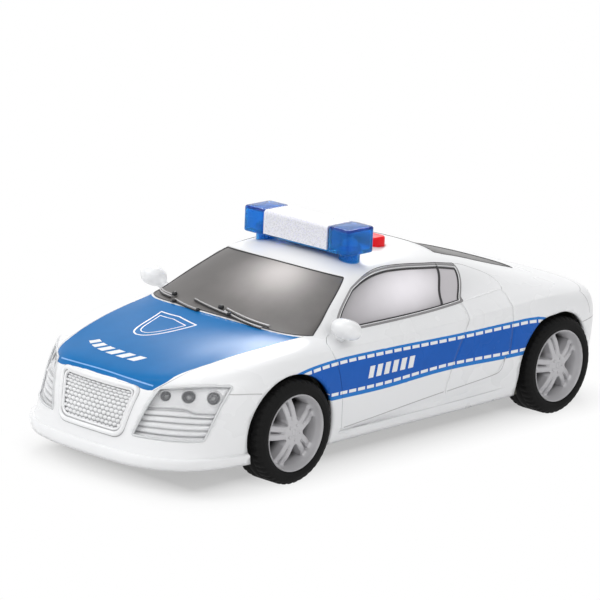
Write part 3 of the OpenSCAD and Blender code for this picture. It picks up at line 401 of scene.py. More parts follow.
def ball(centre, radii, count=20, power=1.0):
    """Ellipsoid: radii times (cos a cos b, cos a sin b, sin a), each raised to power with its sign."""
    a = np.linspace(-math.pi / 2, math.pi / 2, count)[1:-1, None]
    b = np.linspace(0, 2 * math.pi, 2 * count, endpoint=False)
    raw = np.stack([np.cos(a) * np.cos(b), np.cos(a) * np.sin(b), np.sin(a) + 0 * b], -1)
    return ring_solid(np.asarray(centre) + np.asarray(radii) * np.sign(raw) * np.abs(raw) ** power)


def add_piece(name, shape, finish, body=CAR, replaces=(), sharp=35, values=None):
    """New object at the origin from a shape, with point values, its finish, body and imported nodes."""
    mesh = bpy.data.meshes.new(name)
    mesh.from_pydata((shape[0] * MM).tolist(), [], [f for block in shape[1] for f in block.tolist()])
    mesh.shade_smooth()
    mesh.set_sharp_from_angle(angle=math.radians(sharp))
    for key, data in (values or {}).items():
        mesh.attributes.new(key, "FLOAT", "POINT").data.foreach_set("value", np.asarray(data, np.float32).ravel())
    mesh.materials.append(finish)
    mesh.update()
    piece = bpy.data.objects.new(name, mesh)
    bpy.context.scene.collection.objects.link(piece)
    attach(piece, body)
    if replaces:
        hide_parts(*replaces)
    return piece


def add_pair(name, shape, finish, node="", values=None):
    """The piece on the left side and its mirror image on the right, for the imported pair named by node."""
    for side, placed in (("left", shape), ("right", mirrored(shape))):
        add_piece(f"{name}_{side}", placed, finish, replaces=[f"{node}_{side}"] if node else (), values=values)


# ---------------------------------------------------------------------------------------------
# Finishes
# ---------------------------------------------------------------------------------------------

# Most of a noise lies between these values.
CLOUDS = (0.3, 0.7)


def new_finish(name):
    """Material with a plain principled shader; gives the material, its tree and the shader."""
    finish = bpy.data.materials.new(name)
    finish.use_nodes = True
    tree = finish.node_tree
    tree.nodes.clear()
    out = tree.nodes.new("ShaderNodeOutputMaterial")
    shader = tree.nodes.new("ShaderNodeBsdfPrincipled")
    tree.links.new(shader.outputs["BSDF"], out.inputs["Surface"])
    return finish, tree, shader


def feed(tree, socket, value):
    """Links a socket to another, or sets it."""
    if isinstance(value, bpy.types.NodeSocket):
        tree.links.new(value, socket)
    else:
        socket.default_value = value


def calc(tree, operation, *values, clamp=False):
    """Sum, product or the like of values or sockets."""
    node = tree.nodes.new("ShaderNodeMath")
    node.operation = operation
    node.use_clamp = clamp
    for socket, value in zip(node.inputs, values):
        feed(tree, socket, value)
    return node.outputs[0]


def tint(tree, factor, a, b):
    """Colour b over colour a by factor."""
    node = tree.nodes.new("ShaderNodeMix")
    node.data_type = "RGBA"
    feed(tree, node.inputs[0], factor)
    for socket, value in ((node.inputs[6], a), (node.inputs[7], b)):
        feed(tree, socket, value if isinstance(value, bpy.types.NodeSocket) else (*value[:3], 1))
    return node.outputs[2]


def spread(tree, value, low, high, to_low=0.0, to_high=1.0):
    """Value carried from the range low to high over to another range, held at its ends."""
    node = tree.nodes.new("ShaderNodeMapRange")
    for socket, number in zip(node.inputs[:5], (value, low, high, to_low, to_high)):
        feed(tree, socket, number)
    return node.outputs[0]


def point_value(tree, key):
    """Value stored on the mesh's points."""
    node = tree.nodes.new("ShaderNodeAttribute")
    node.attribute_name = key
    return node.outputs["Fac"]


def object_place(tree):
    """Object coordinates."""
    return tree.nodes.new("ShaderNodeTexCoord").outputs["Object"]


def noise(tree, scale, detail, place):
    """Cloudy value; it lies mostly within CLOUDS."""
    node = tree.nodes.new("ShaderNodeTexNoise")
    feed(tree, node.inputs["Vector"], place)
    node.inputs["Scale"].default_value = scale
    node.inputs["Detail"].default_value = detail
    return node.outputs[0]


def roughen(tree, shader, height, strength, depth=0.0002):
    """Bump of a depth in metres on a shader."""
    node = tree.nodes.new("ShaderNodeBump")
    node.inputs["Strength"].default_value = strength
    node.inputs["Distance"].default_value = depth
    feed(tree, node.inputs["Height"], height)
    tree.links.new(node.outputs[0], shader.inputs["Normal"])


def shade(colour, f):
    """Colour times f, at most white."""
    return tuple(min(1.0, c * f) for c in colour)


def mottled(tree, clouds, colour, low, high):
    """Colour that varies between low and high times itself with a cloudy value."""
    return tint(tree, spread(tree, clouds, *CLOUDS), shade(colour, low), shade(colour, high))


def moulded(name, colour, rough, tone=0.08, cloud=60.0, grain=900.0, bump=0.05, metal=0.0, coat=0.0, gloss=0.35):
    """Moulded plastic, rubber or metal: cloudy tone, uneven gloss and a fine grain."""
    finish, tree, shader = new_finish(name)
    place = object_place(tree)
    clouds, fine = noise(tree, cloud, 4.0, place), noise(tree, grain, 2.0, place)
    feed(tree, shader.inputs["Base Color"], mottled(tree, clouds, colour, 1 - tone, 1 + tone))
    feed(tree, shader.inputs["Roughness"], spread(tree, clouds, *CLOUDS, rough * 0.88, rough * 1.12))
    shader.inputs["Metallic"].default_value = metal
    shader.inputs["Specular IOR Level"].default_value = gloss
    shader.inputs["Coat Weight"].default_value = coat
    shader.inputs["Coat Roughness"].default_value = 0.08
    roughen(tree, shader, fine, bump)
    return finish


def painted_body(c, size):
    """Gloss white plastic with the printed bonnet panel and dashed side stripe. The prints' edges are
    point values in millimetres: positive inside the print."""
    finish, tree, shader = new_finish("body_paint")
    place = object_place(tree)
    clouds, fine = noise(tree, 35.0, 3.0, place), noise(tree, 700.0, 2.0, place)
    ink = noise(tree, 240.0, 2.0, place)
    print_edge, band_edge, dash_edge = 0.04, 0.08, 0.05
    white = mottled(tree, clouds, c.white, 0.99, 1.0)
    on_hood = spread(tree, point_value(tree, "hood_edge"), -print_edge, print_edge)
    colour = tint(tree, on_hood, white, mottled(tree, ink, c.hood_blue, 0.97, 1.03))

    top, low = point_value(tree, "stripe_top"), point_value(tree, "stripe_low")
    field = mottled(tree, ink, c.stripe_blue, 0.97, 1.03)
    inner = calc(tree, "MINIMUM", calc(tree, "SUBTRACT", top, size.band_top),
                 calc(tree, "SUBTRACT", low, size.band_low))
    field = tint(tree, spread(tree, inner, -band_edge, band_edge), c.band_blue, field)
    row = calc(tree, "MINIMUM",
               calc(tree, "ABSOLUTE", calc(tree, "SUBTRACT", top, size.dash_top)),
               calc(tree, "ABSOLUTE", calc(tree, "SUBTRACT", low, size.dash_low)))
    half = size.dash_height / 2
    in_row = spread(tree, row, half - dash_edge, half + dash_edge, 1.0, 0.0)
    phase = calc(tree, "FRACT", calc(tree, "DIVIDE", point_value(tree, "stripe_run"), size.dash_pitch))
    off_dash = calc(tree, "ABSOLUTE", calc(tree, "SUBTRACT", phase, 0.5))
    on_dash = spread(tree, off_dash, 0.385, 0.405, 1.0, 0.0)
    field = tint(tree, calc(tree, "MULTIPLY", in_row, on_dash), field, shade(c.white, 1.02))
    on_stripe = spread(tree, calc(tree, "MINIMUM", top, low), -print_edge, print_edge)
    colour = tint(tree, on_stripe, colour, field)

    # Painted shade: the body darker in the panel grooves, where the point value seam is high.
    groove_shade = calc(tree, "MULTIPLY", calc(tree, "POWER", point_value(tree, "seam"), 1.5), 0.55)
    feed(tree, shader.inputs["Base Color"], tint(tree, groove_shade, colour, (0.2, 0.2, 0.21)))
    smoother = calc(tree, "MULTIPLY", on_hood, 0.08)
    feed(tree, shader.inputs["Roughness"],
         calc(tree, "SUBTRACT", spread(tree, clouds, *CLOUDS, 0.26, 0.32), smoother))
    feed(tree, shader.inputs["Specular IOR Level"],
         spread(tree, calc(tree, "MAXIMUM", on_hood, on_stripe), 0.0, 1.0, 0.4, 0.1))
    roughen(tree, shader, fine, 0.02)
    return finish


def window_film(name, rim_colour, reflection_colour, pane_colour, rough=0.38):
    """Satin window film, paler towards its middle as a painted reflection, with a plain pane where the point value
    says so.
    """
    finish, tree, shader = new_finish(name)
    place = object_place(tree)
    clouds = noise(tree, 160.0, 3.0, place)
    # glow is painted reflection: the pale hump of the point value middle, with a little noise
    glow = calc(tree, "ADD", point_value(tree, "middle"), spread(tree, clouds, *CLOUDS, -0.02, 0.02), clamp=True)
    colour = tint(tree, glow, rim_colour, reflection_colour)
    feed(tree, shader.inputs["Base Color"], tint(tree, point_value(tree, "pane"), colour, pane_colour))
    feed(tree, shader.inputs["Roughness"], spread(tree, clouds, *CLOUDS, rough * 0.9, rough * 1.1))
    shader.inputs["Specular IOR Level"].default_value = 0.35
    roughen(tree, shader, noise(tree, 2200.0, 1.0, place), 0.04)
    return finish


def clear_plastic(name, colour, alpha, rough=0.05):
    """Thin clear cover: mostly see-through with a gloss and faint moulding ripples."""
    finish, tree, shader = new_finish(name)
    ripples = noise(tree, 180.0, 2.0, object_place(tree))
    feed(tree, shader.inputs["Base Color"], mottled(tree, ripples, colour, 0.94, 1.0))
    feed(tree, shader.inputs["Roughness"], spread(tree, ripples, *CLOUDS, rough, rough * 2))
    shader.inputs["Alpha"].default_value = alpha
    roughen(tree, shader, ripples, 0.04)
    return finish


def beacon_plastic(name, colour):
    """See-through blue plastic with flow marks, deeper and more violet as painted shade where two walls of a cap meet
    and on its top. Each wall adds to a sum as a point comes near it, so the sum is high along the edges."""
    finish, tree, shader = new_finish(name)
    place = object_place(tree)
    flow = noise(tree, 130.0, 3.0, place)
    low, high = (corner * MM for corner in node_box("light_bar_lens"))
    split = tree.nodes.new("ShaderNodeSeparateXYZ")
    feed(tree, split.inputs[0], place)
    wide = calc(tree, "ABSOLUTE", split.outputs["X"])
    deep = calc(tree, "ABSOLUTE", calc(tree, "SUBTRACT", split.outputs["Y"], (low[1] + high[1]) / 2))
    half = (high[1] - low[1]) / 2
    # Depths in metres at which a wall starts to count and counts in full.
    end_zone, side_zone, top_zone = (0.0006, 0.0), (0.0012, 0.0002), (0.0013, 0.0004)
    inner_end, top_shade_weight = 0.0149, 1.9
    near = calc(tree, "ADD", spread(tree, wide, *(high[0] - d for d in end_zone)),
                spread(tree, wide, *(inner_end + d for d in end_zone)))
    near = calc(tree, "ADD", near, spread(tree, deep, *(half - d for d in side_zone)))
    near = calc(tree, "ADD", near,
                spread(tree, split.outputs["Z"], *(high[2] - d for d in top_zone), 0.0, top_shade_weight))
    # edge is painted shade: the cap darker and more violet along its edges and on its top face
    edge = spread(tree, near, 1.2, 2.75, 0.0, 0.9)
    body = mottled(tree, flow, colour, 0.9, 1.1)
    feed(tree, shader.inputs["Base Color"], tint(tree, edge, body, (0.03, 0.04, 0.36)))
    feed(tree, shader.inputs["Roughness"], spread(tree, flow, *CLOUDS, 0.1, 0.18))
    shader.inputs["Transmission Weight"].default_value = 0.8
    shader.inputs["IOR"].default_value = 1.25
    shader.inputs["Specular IOR Level"].default_value = 0.3
    roughen(tree, shader, flow, 0.03)
    return finish


def facets(tree, scale, feature="F1"):
    """Small cells of a scale, by Object coordinates."""
    cells = tree.nodes.new("ShaderNodeTexVoronoi")
    cells.feature = feature
    cells.inputs["Scale"].default_value = scale
    feed(tree, cells.inputs["Vector"], object_place(tree))
    return cells


def glitter(name, colour):
    """White film with fine facets: each small cell gets its own tone and tilt."""
    finish, tree, shader = new_finish(name)
    cells = facets(tree, 3600.0)
    parts = tree.nodes.new("ShaderNodeSeparateColor")
    feed(tree, parts.inputs[0], cells.outputs["Color"])
    speck, hue = parts.outputs[:2]
    grey = tint(tree, spread(tree, speck, 0.0, 0.75), shade(colour, 0.8), colour)
    lilac = tint(tree, spread(tree, hue, 0.8, 0.95), grey, (0.68, 0.67, 0.85))
    feed(tree, shader.inputs["Base Color"], lilac)
    feed(tree, shader.inputs["Roughness"], spread(tree, speck, 0.0, 1.0, 0.2, 0.55))
    roughen(tree, shader, speck, 0.35, 0.0001)
    return finish


def two_tone(name, key, colour_a, colour_b, rough_a, rough_b, metal=0.0, bump=0.05, coat=0.0):
    """Two tones of one piece, mixed by a point value, with cloudy tone and fine grain."""
    finish, tree, shader = new_finish(name)
    place = object_place(tree)
    clouds = noise(tree, 70.0, 3.0, place)
    a, b = mottled(tree, clouds, colour_a, 0.95, 1.05), mottled(tree, clouds, colour_b, 0.9, 1.1)
    f = point_value(tree, key)
    feed(tree, shader.inputs["Base Color"], tint(tree, f, a, b))
    feed(tree, shader.inputs["Roughness"],
         calc(tree, "ADD", spread(tree, f, 0.0, 1.0, rough_a, rough_b), spread(tree, clouds, *CLOUDS, -0.03, 0.03)))
    shader.inputs["Metallic"].default_value = metal
    shader.inputs["Specular IOR Level"].default_value = 0.35
    shader.inputs["Coat Weight"].default_value = coat
    roughen(tree, shader, noise(tree, 900.0, 2.0, place), bump)
    return finish


def board_finish(name, colour):
    """Circuit board: green lacquer with a net of tracks along the edges of small cells."""
    finish, tree, shader = new_finish(name)
    cells = facets(tree, 220.0, "DISTANCE_TO_EDGE")
    track = spread(tree, cells.outputs["Distance"], 0.04, 0.07, 1.0, 0.0)
    lacquer = mottled(tree, noise(tree, 300.0, 2.0, object_place(tree)), colour, 0.85, 1.1)
    feed(tree, shader.inputs["Base Color"], tint(tree, track, lacquer, (0.16, 0.36, 0.12)))
    feed(tree, shader.inputs["Roughness"], spread(tree, track, 0.0, 1.0, 0.4, 0.25))
    roughen(tree, shader, track, 0.2)
    return finish


# ---------------------------------------------------------------------------------------------
# Settings
# ---------------------------------------------------------------------------------------------

def colour_setting(name, text, default):
    """Linear colour that a user may change."""
    return FloatVectorProperty(name=name, description=text, subtype="COLOR", size=3, min=0.0, max=1.0, default=default)


def size_setting(name, text, default, low=0.0, high=50.0):
    """Size in millimetres that a user may change."""
    return FloatProperty(name=name, description=text + ", in millimetres", default=default, min=low, max=high)


def count_setting(name, text, default, low, high):
    """Count that a user may change."""
    return IntProperty(name=name, description=text, default=default, min=low, max=high)


class CarColours(bpy.types.PropertyGroup):
    """Colours of the car's finishes, linear."""

    white: colour_setting("White", "Body plastic", (0.80, 0.805, 0.815))
    hood_blue: colour_setting("Bonnet blue", "Printed bonnet panel", (0.008, 0.145, 0.40))
    stripe_blue: colour_setting("Stripe blue", "Middle of the side stripe", (0.012, 0.105, 0.45))
    band_blue: colour_setting("Band blue", "Outer bands of the side stripe", (0.022, 0.19, 0.57))
    screen_low: colour_setting("Windscreen rim", "Windscreen tone at its rim", (0.112, 0.106, 0.103))
    # The windows' middle tones are painted reflection, laid over their rim tones.
    screen_reflection: colour_setting("Windscreen middle", "Windscreen tone in its middle", (0.6, 0.57, 0.56))
    window_low: colour_setting("Window rim", "Side window tone at its rim", (0.25, 0.24, 0.25))
    window_reflection: colour_setting("Window middle", "Side window tone in its middle", (0.94, 0.91, 0.95))
    seal: colour_setting("Seal", "Window seals", (0.035, 0.033, 0.036))
    trim: colour_setting("Trim", "Window surround", (0.25, 0.245, 0.25))
    silver: colour_setting("Silver", "Lamp reflectors", (0.8, 0.8, 0.81))
    rim: colour_setting("Rim", "Wheel rims", (0.5, 0.495, 0.51))
    rubber: colour_setting("Rubber", "Tyres", (0.0075, 0.0075, 0.0075))
    beacon: colour_setting("Beacon", "Light bar", (0.05, 0.4, 0.88))
    button: colour_setting("Button", "Push button", (0.84, 0.01, 0.018))
    tail: colour_setting("Tail light", "Tail lights", (0.5, 0.01, 0.012))
    chassis: colour_setting("Chassis", "Floor and wheel tubs", (0.05, 0.05, 0.038))
    floor: colour_setting("Floor", "Studio floor", (0.86, 0.86, 0.86))


class CarSizes(bpy.types.PropertyGroup):
    """Sizes of the looks."""

    cell: size_setting("Body cell", "Side of one cell of the body skin", 1.4, 0.8, 4.0)
    wall: size_setting("Body wall", "Thickness of the body skin", 1.5, 0.5, 2.0)
    groove: size_setting("Panel groove", "Depth of the panel lines", 0.42, 0.0, 1.0)
    groove_width: size_setting("Panel groove width", "Half width of the panel lines", 0.27, 0.1, 1.0)
    band_top: size_setting("Upper band", "Height of the stripe's upper band", 0.85)
    band_low: size_setting("Lower band", "Height of the stripe's lower band", 1.3)
    dash_top: size_setting("Upper dashes", "Middle of the upper dashes below the stripe's top", 1.45)
    dash_low: size_setting("Lower dashes", "Middle of the lower dashes above the stripe's foot", 1.9)
    dash_height: size_setting("Dash height", "Height of one dash", 1.05)
    dash_pitch: size_setting("Dash pitch", "Distance from dash to dash", 4.45)
    arch_radius: size_setting("Arch radius", "Radius of the wheel openings", 19.0, 17.5, 22.0)


class CarCounts(bpy.types.PropertyGroup):
    """Counts of repeated details."""

    spoke_pairs: count_setting("Spoke pairs", "Pairs of spokes on a rim", 5, 3, 9)
    tread_blocks: count_setting("Tread blocks", "Blocks round a tyre's shoulder", 44, 12, 90)
    grille_columns: count_setting("Grille columns", "Studs across the grille", 15, 6, 30)
    grille_rows: count_setting("Grille rows", "Studs up the grille", 12, 4, 20)


def settings():
    """Colours, sizes and counts that the user has set."""
    scene = bpy.context.scene
    return scene.car_colours, scene.car_sizes, scene.car_counts


# ---------------------------------------------------------------------------------------------
# Body
# ---------------------------------------------------------------------------------------------

def door_front(v):
    """Front panel line of the door: its place along the car at each height."""
    return np.interp(v, [2.9, 4.5, 7.0, 7.94, 9.0, 9.4], [5.05, 5.03, 4.87, 4.84, 4.9, 5.0])


def door_rear(v):
    """Rear panel line of the door."""
    return np.interp(v, [3.6, 4.62, 6.9, 8.97], [6.64, 6.73, 6.97, 7.04])


def blade_rear(v):
    """Panel line behind the side blade."""
    return np.interp(v, [3.69, 4.36, 4.64, 6.24, 6.93, 7.59, 8.55, 9.41],
                     [7.34, 7.42, 7.48, 7.51, 7.54, 7.57, 7.68, 7.96])


# Heights of the level lines, the upright panel lines and the heights between which each one runs.
SILL_V, FOLD_V, CREASE_V = 2.45, 3.3, 7.04
PANEL_LINES = (door_front, door_rear, blade_rear)
PANEL_SPAN = ((2.6, 9.3), (3.2, 9.0), (3.7, 9.4))

# Fold over the sill's scoop, as skin places: along the door, then along the panel behind it.
DOOR_FOLD = [(5.083, 2.86), (5.47, 3.03), (5.861, 3.21), (6.24, 3.37), (6.607, 3.5)]
PANEL_FOLD = [(6.656, 3.49), (7.038, 3.62), (7.3, 3.73), (7.37, 3.86), (7.4, 4.1), (7.419, 4.385)]


def sill_rise(side):
    """How far the sill lines climb along the car."""
    return np.interp(side, [4.9, 5.08, 5.62, 6.02, 6.54, 7.34, 7.7, 8.2],
                     [-0.2, -0.25, -0.13, -0.02, 0.1, 0.3, 0.2, 0])


def body_relief(side, v, rise):
    """Height of the moulded lines over the skin: the sill's scoop falls away below its fold and comes back
    sharply at the sill line, the shoulder crease is a thin rounded ridge, and the front lip stands out below
    its line."""
    scoop_depth, crease_height, lip_out, lip_in = 1.5, 0.3, 0.55, 0.45
    along = step(side, 4.95, 5.1) * (1 - step(side, 7.4, 7.6))
    fold = np.interp(side, *np.array(DOOR_FOLD + PANEL_FOLD[:3]).T)
    x = (v - SILL_V - rise) / (fold - SILL_V - rise)
    scoop = -scoop_depth * np.clip((1 - x) / 0.88, 0, 1) * step(x, 0.0, 0.12)
    ridge = (crease_height * np.exp(-np.abs(v - CREASE_V) / 0.16) * step(side, 4.6, 5.0)
             * (1 - step(side, 8.0, 8.4)))
    front = 1 - step(side, 3.4, 4.2)
    lip = np.where(v < SILL_V + 0.03, lip_out * np.exp(-((v - SILL_V) / 0.8) ** 2),
                   -lip_in * np.exp((SILL_V - v) / 0.5))
    return along * scoop + ridge + front * lip


def even_steps(line, low, high, cell):
    """Values between low and high, spread evenly by the length of the line they trace."""
    f = np.linspace(low, high, 400)
    walk = np.append(0, np.cumsum(line(f)[1:]))
    count = max(int(round(walk[-1] / cell)), 2)
    return np.interp(np.linspace(0, walk[-1], count + 1), walk, f)


def skin_rows(cell, half_width):
    """Heights of the grid rows: even by the longest step any part of the skin takes, with three close rows
    at each level panel line."""
    f_t = np.linspace(0, T_END, 45)

    def longest(v):
        p = skin(f_t[None], v[:, None])
        return np.append(0, np.linalg.norm(np.diff(p, axis=0), axis=-1).max(1))
    v = even_steps(longest, 0, V_END, cell)
    for level in (SILL_V, FOLD_V, CREASE_V):
        v = v[np.abs(v - level) > 0.12]
        v = np.sort(np.concatenate([v, level + np.array([-1, 0, 1]) * half_width / 4.5]))
    return v


def skin_columns(v, cell, half_width):
    """Grid columns as places round the car for each row: each stretch between panel lines is divided evenly,
    and each panel line gets three close columns. Gives the full loop and the columns on each line."""
    level = 5.0
    edges = [lambda w: 0 * w] + list(PANEL_LINES) + [lambda w: 0 * w + T_END]
    blocks, marks, count = [], [], 0

    def length(f):
        return np.append(0, np.linalg.norm(np.diff(skin(f, level), axis=0), axis=-1))
    for k in range(len(edges) - 1):
        a, b = (float(e(np.array(level))) for e in edges[k:k + 2])
        share = (even_steps(length, a, b, cell) - a) / (b - a)
        share = share[1:-1] if k else share[:-1]
        low, high = edges[k](v)[:, None], edges[k + 1](v)[:, None]
        blocks.append(blend(low, high, share))
        count += len(share)
        if k < len(edges) - 2:
            blocks.append(high + np.array([-1, 0, 1]) * half_width / 32)
            marks.append(count + 1)
            count += 3
    left = np.concatenate(blocks + [np.full((len(v), 1), float(T_END))], 1)
    return np.concatenate([left, mirror_t(left[:, -2:0:-1])], 1), marks


def within(t, v, out_t, out_v):
    """Even-odd rule: counts the outline's sides that a line towards greater t crosses."""
    next_t, next_v = np.roll(out_t, -1), np.roll(out_v, -1)
    spans = (out_v > v[:, None]) != (next_v > v[:, None])
    rise = np.where(next_v == out_v, 1.0, next_v - out_v)
    cross = out_t + (v[:, None] - out_v) * (next_t - out_t) / rise
    return (spans & (t[:, None] < cross)).sum(1) % 2 == 1


def nearest(points, line, block=4000):
    """Index of and distance to the nearest point of a line, for many points."""
    index, gap = [], []
    for start in range(0, len(points), block):
        d = np.linalg.norm(points[start:start + block, None] - line[None], axis=-1)
        index.append(d.argmin(1))
        gap.append(d.min(1))
    return np.concatenate(index), np.concatenate(gap)


def unwrap(t, middle):
    """Places round the car counted on past the nose, so that they lie within half a round of the middle."""
    return (t - middle + T_END) % (2 * T_END) - T_END + middle


def pick_crossings(hit, gap):
    """For each grid side that crosses an edge, marks its end that is nearer to the edge."""
    on = np.zeros(hit.shape, bool)
    cross = hit != np.roll(hit, -1, 1)
    first = cross & (gap <= np.roll(gap, -1, 1))
    on |= first | np.roll(cross & ~first, 1, 1)
    cross = hit[:-1] != hit[1:]
    first = cross & (gap[:-1] <= gap[1:])
    on[:-1] |= first
    on[1:] |= cross & ~first
    return on


def open_outline(t, v, out_t, out_v):
    """Fits the grid to an outline: grid points next to it move onto it. Gives t, v and the state of each grid
    point: -1 inside, 0 on the outline, 1 outside."""
    margin_t, margin_v, far = 0.3, 0.4, 1e9
    line = skin(out_t, out_v)
    flat = unwrap(t, out_t.mean())
    near = ((flat > out_t.min() - margin_t) & (flat < out_t.max() + margin_t)
            & (v > out_v.min() - margin_v) & (v < out_v.max() + margin_v))
    hit = np.zeros(t.shape, bool)
    hit[near] = within(flat[near], v[near], out_t, out_v)
    index = np.zeros(t.shape, int)
    gap = np.full(t.shape, far)
    index[near], gap[near] = nearest(skin(flat[near], v[near]), line)
    on = pick_crossings(hit, gap)
    t, v = t.copy(), v.copy()
    t[on], v[on] = out_t[index[on]], out_v[index[on]]
    return t, v, np.where(on, 0, np.where(hit, -1, 1))


def open_level(t, v, level):
    """As open_outline, for the edge where level(point) is zero: marked grid points slide to it by Newton
    steps measured on the skin."""
    depth = level(skin(t, v))
    hit = depth < 0
    on = pick_crossings(hit, np.abs(depth))
    a, b = t[on], v[on]
    h, rounds, most_t, most_v = 1e-3, 8, 0.05, 0.3
    for _ in range(rounds):
        here = level(skin(a, b))
        up = np.minimum(b + h, V_END)
        down = np.maximum(b - h, 0)
        step_a = skin(a + h, b) - skin(a - h, b)
        step_b = skin(a, up) - skin(a, down)
        slope_a = level(skin(a + h, b)) - level(skin(a - h, b))
        slope_b = level(skin(a, up)) - level(skin(a, down))
        move_a = slope_a / np.maximum((step_a ** 2).sum(-1), 1e-12)
        move_b = slope_b / np.maximum((step_b ** 2).sum(-1), 1e-12)
        scale = here / np.maximum(slope_a * move_a + slope_b * move_b, 1e-9)
        a = a - np.clip(scale * move_a * 2 * h, -most_t, most_t)
        b = np.clip(b - np.clip(scale * move_b * (up - down), -most_v, most_v), 0, V_END)
    t, v = t.copy(), v.copy()
    t[on], v[on] = a, b
    return t, v, np.where(on, 0, np.where(hit, -1, 1))


def arch_level(y, side, radius, axle_z, relax):
    """Distance outside a wheel arch: a circle round the axle that relaxes ahead of it and below the axle."""
    inner_x, far = 25, 50.0

    def level(p):
        ahead, up = y - p[..., 1], p[..., 2] - axle_z
        loose = step(ahead, 2.0, 12.0) * (relax[0] + relax[1] * step(-up, -1.0, 8.0))
        return np.where(p[..., 0] * side > inner_x, np.hypot(ahead, up) - radius - loose, far)
    return level


def button_level(low, high, gap, corner):
    """Distance outside the button's opening in the roof: a rectangle in plan with round corners."""
    middle, half = (low + high) / 2, (high - low) / 2 + gap - corner
    roof_z, far = 50, 50.0

    def level(p):
        q = np.abs(p[..., :2] - middle[:2]) - half[:2]
        out = np.hypot(np.maximum(q[..., 0], 0), np.maximum(q[..., 1], 0)) + np.minimum(q.max(-1), 0) - corner
        return np.where(p[..., 2] > roof_z, out, far)
    return level


def edge_distance(t, v, points, out_t, out_v, reach=4.0):
    """Signed distance to a closed outline on the skin in millimetres, positive inside."""
    margin_t, margin_v = 0.5, 0.8
    flat = unwrap(t, out_t.mean())
    box = ((np.abs(flat - out_t.mean()) < np.ptp(out_t) / 2 + margin_t)
           & (v > out_v.min() - margin_v) & (v < out_v.max() + margin_v))
    out = np.full(t.shape, -reach)
    _, gap = nearest(points[box], skin(out_t, out_v))
    out[box] = np.where(within(flat[box], v[box], out_t, out_v), gap, -gap)
    return out


# Gaps round the inserts, round the button and between the bonnet print and the windscreen, in millimetres.
INSERT_GAP, BUTTON_GAP, BUTTON_CORNER, PRINT_TO_GLASS = 0.1, 0.35, 2.7, 0.9
# The button's pill stands back from its flange all round.
BUTTON_FLANGE = [1.2, 1.2, 0]
BUTTON_LOW = node_box("roof_button")[0] + BUTTON_FLANGE
BUTTON_HIGH = node_box("roof_button")[1] - BUTTON_FLANGE
# How far each axle's arches open past their circle, ahead of the axle and more below it.
ARCH_RELAX = {"tyre_front_left": (0.0, 0.0), "tyre_rear_left": (1.6, 2.6)}

# Edges of the prints as skin places: the bonnet's left, right and front edge, the stripe's two edges.
HOOD_EDGE = np.array([(1.28, 5.94), (1.54, 6.66), (2.03, 7.93), (2.43, 8.33), (2.81, 8.70), (3.35, 9.08),
                      (3.68, 9.36), (4.14, 9.62), (4.3, 9.8)])
HOOD_FAR = np.array([(1.5, 5.9), (1.76, 6.4), (2.28, 7.55), (2.7, 8.02), (3.1, 8.38), (3.6, 8.8), (4.0, 9.2),
                     (4.3, 9.6), (4.4, 9.8)])
HOOD_FRONT = np.array([(0.0, 6.38), (0.6, 6.33), (0.9, 6.14), (1.1, 5.98)])
STRIPE_TOP = np.array([(4.0, 6.05), (4.27, 6.22), (4.6, 6.34), (5.07, 6.42), (5.68, 6.38), (6.8, 6.17), (7.5, 6.04),
                       (7.75, 5.97), (7.92, 5.8), (8.06, 5.45), (8.5, 4.4)])
STRIPE_LOW = np.array([(4.0, 4.5), (4.86, 4.41), (5.68, 4.34), (6.71, 4.45), (7.61, 4.28), (8.5, 4.2)])


def hood_outline():
    """Outline of the bonnet print: front edge, left edge, a rear edge behind the windscreen's foot, right edge."""
    rear_t, rear_v = 3.0, 10.5
    halves = []
    for edge in (HOOD_EDGE, HOOD_FAR):
        v = np.linspace(edge[0, 1], edge[-1, 1], 90)
        side_t = curve(v, edge[:, 1], edge[:, 0])
        t = np.linspace(0, edge[0, 0], 40)[:-1]
        front_v = curve(t, [*HOOD_FRONT[:, 0], edge[0, 0]], [*HOOD_FRONT[:, 1], edge[0, 1]])
        halves.append((np.concatenate([t, side_t, [rear_t, 0.0]]), np.concatenate([front_v, v, [rear_v, rear_v]])))
    (near_t, near_v), (far_t, far_v) = halves
    return evenly(np.concatenate([near_t, -far_t[-2:0:-1]]), np.concatenate([near_v, far_v[-2:0:-1]]), 900)


def stripe_values(t, v, points):
    """Distance below the stripe's upper edge, above its lower edge and along it, in millimetres."""
    side = np.where(t > T_END, mirror_t(t), t)
    start, end = STRIPE_TOP[0, 0], STRIPE_TOP[-1, 0]
    f = np.linspace(start, end, 600)
    left_points = points * np.where((t > T_END)[..., None], [-1, 1, 1], [1, 1, 1])
    low_v, middle_v, high_v, far = 3.2, 5.35, 7.6, -4.0
    box = (side > start) & (side < end) & (v > low_v) & (v < high_v)
    values = []
    for edge, way in ((STRIPE_TOP, -1), (STRIPE_LOW, 1)):
        edge_v = curve(f, edge[:, 0], edge[:, 1])
        out = np.full(t.shape, far)
        _, gap = nearest(left_points[box], skin(f, edge_v))
        out[box] = gap * np.sign(way * (v[box] - np.interp(side[box], f, edge_v)))
        values.append(out)
    walk = np.append(0, np.cumsum(np.linalg.norm(np.diff(skin(f, middle_v + 0 * f), axis=0), axis=-1)))
    return (*values, np.interp(side, f, walk))


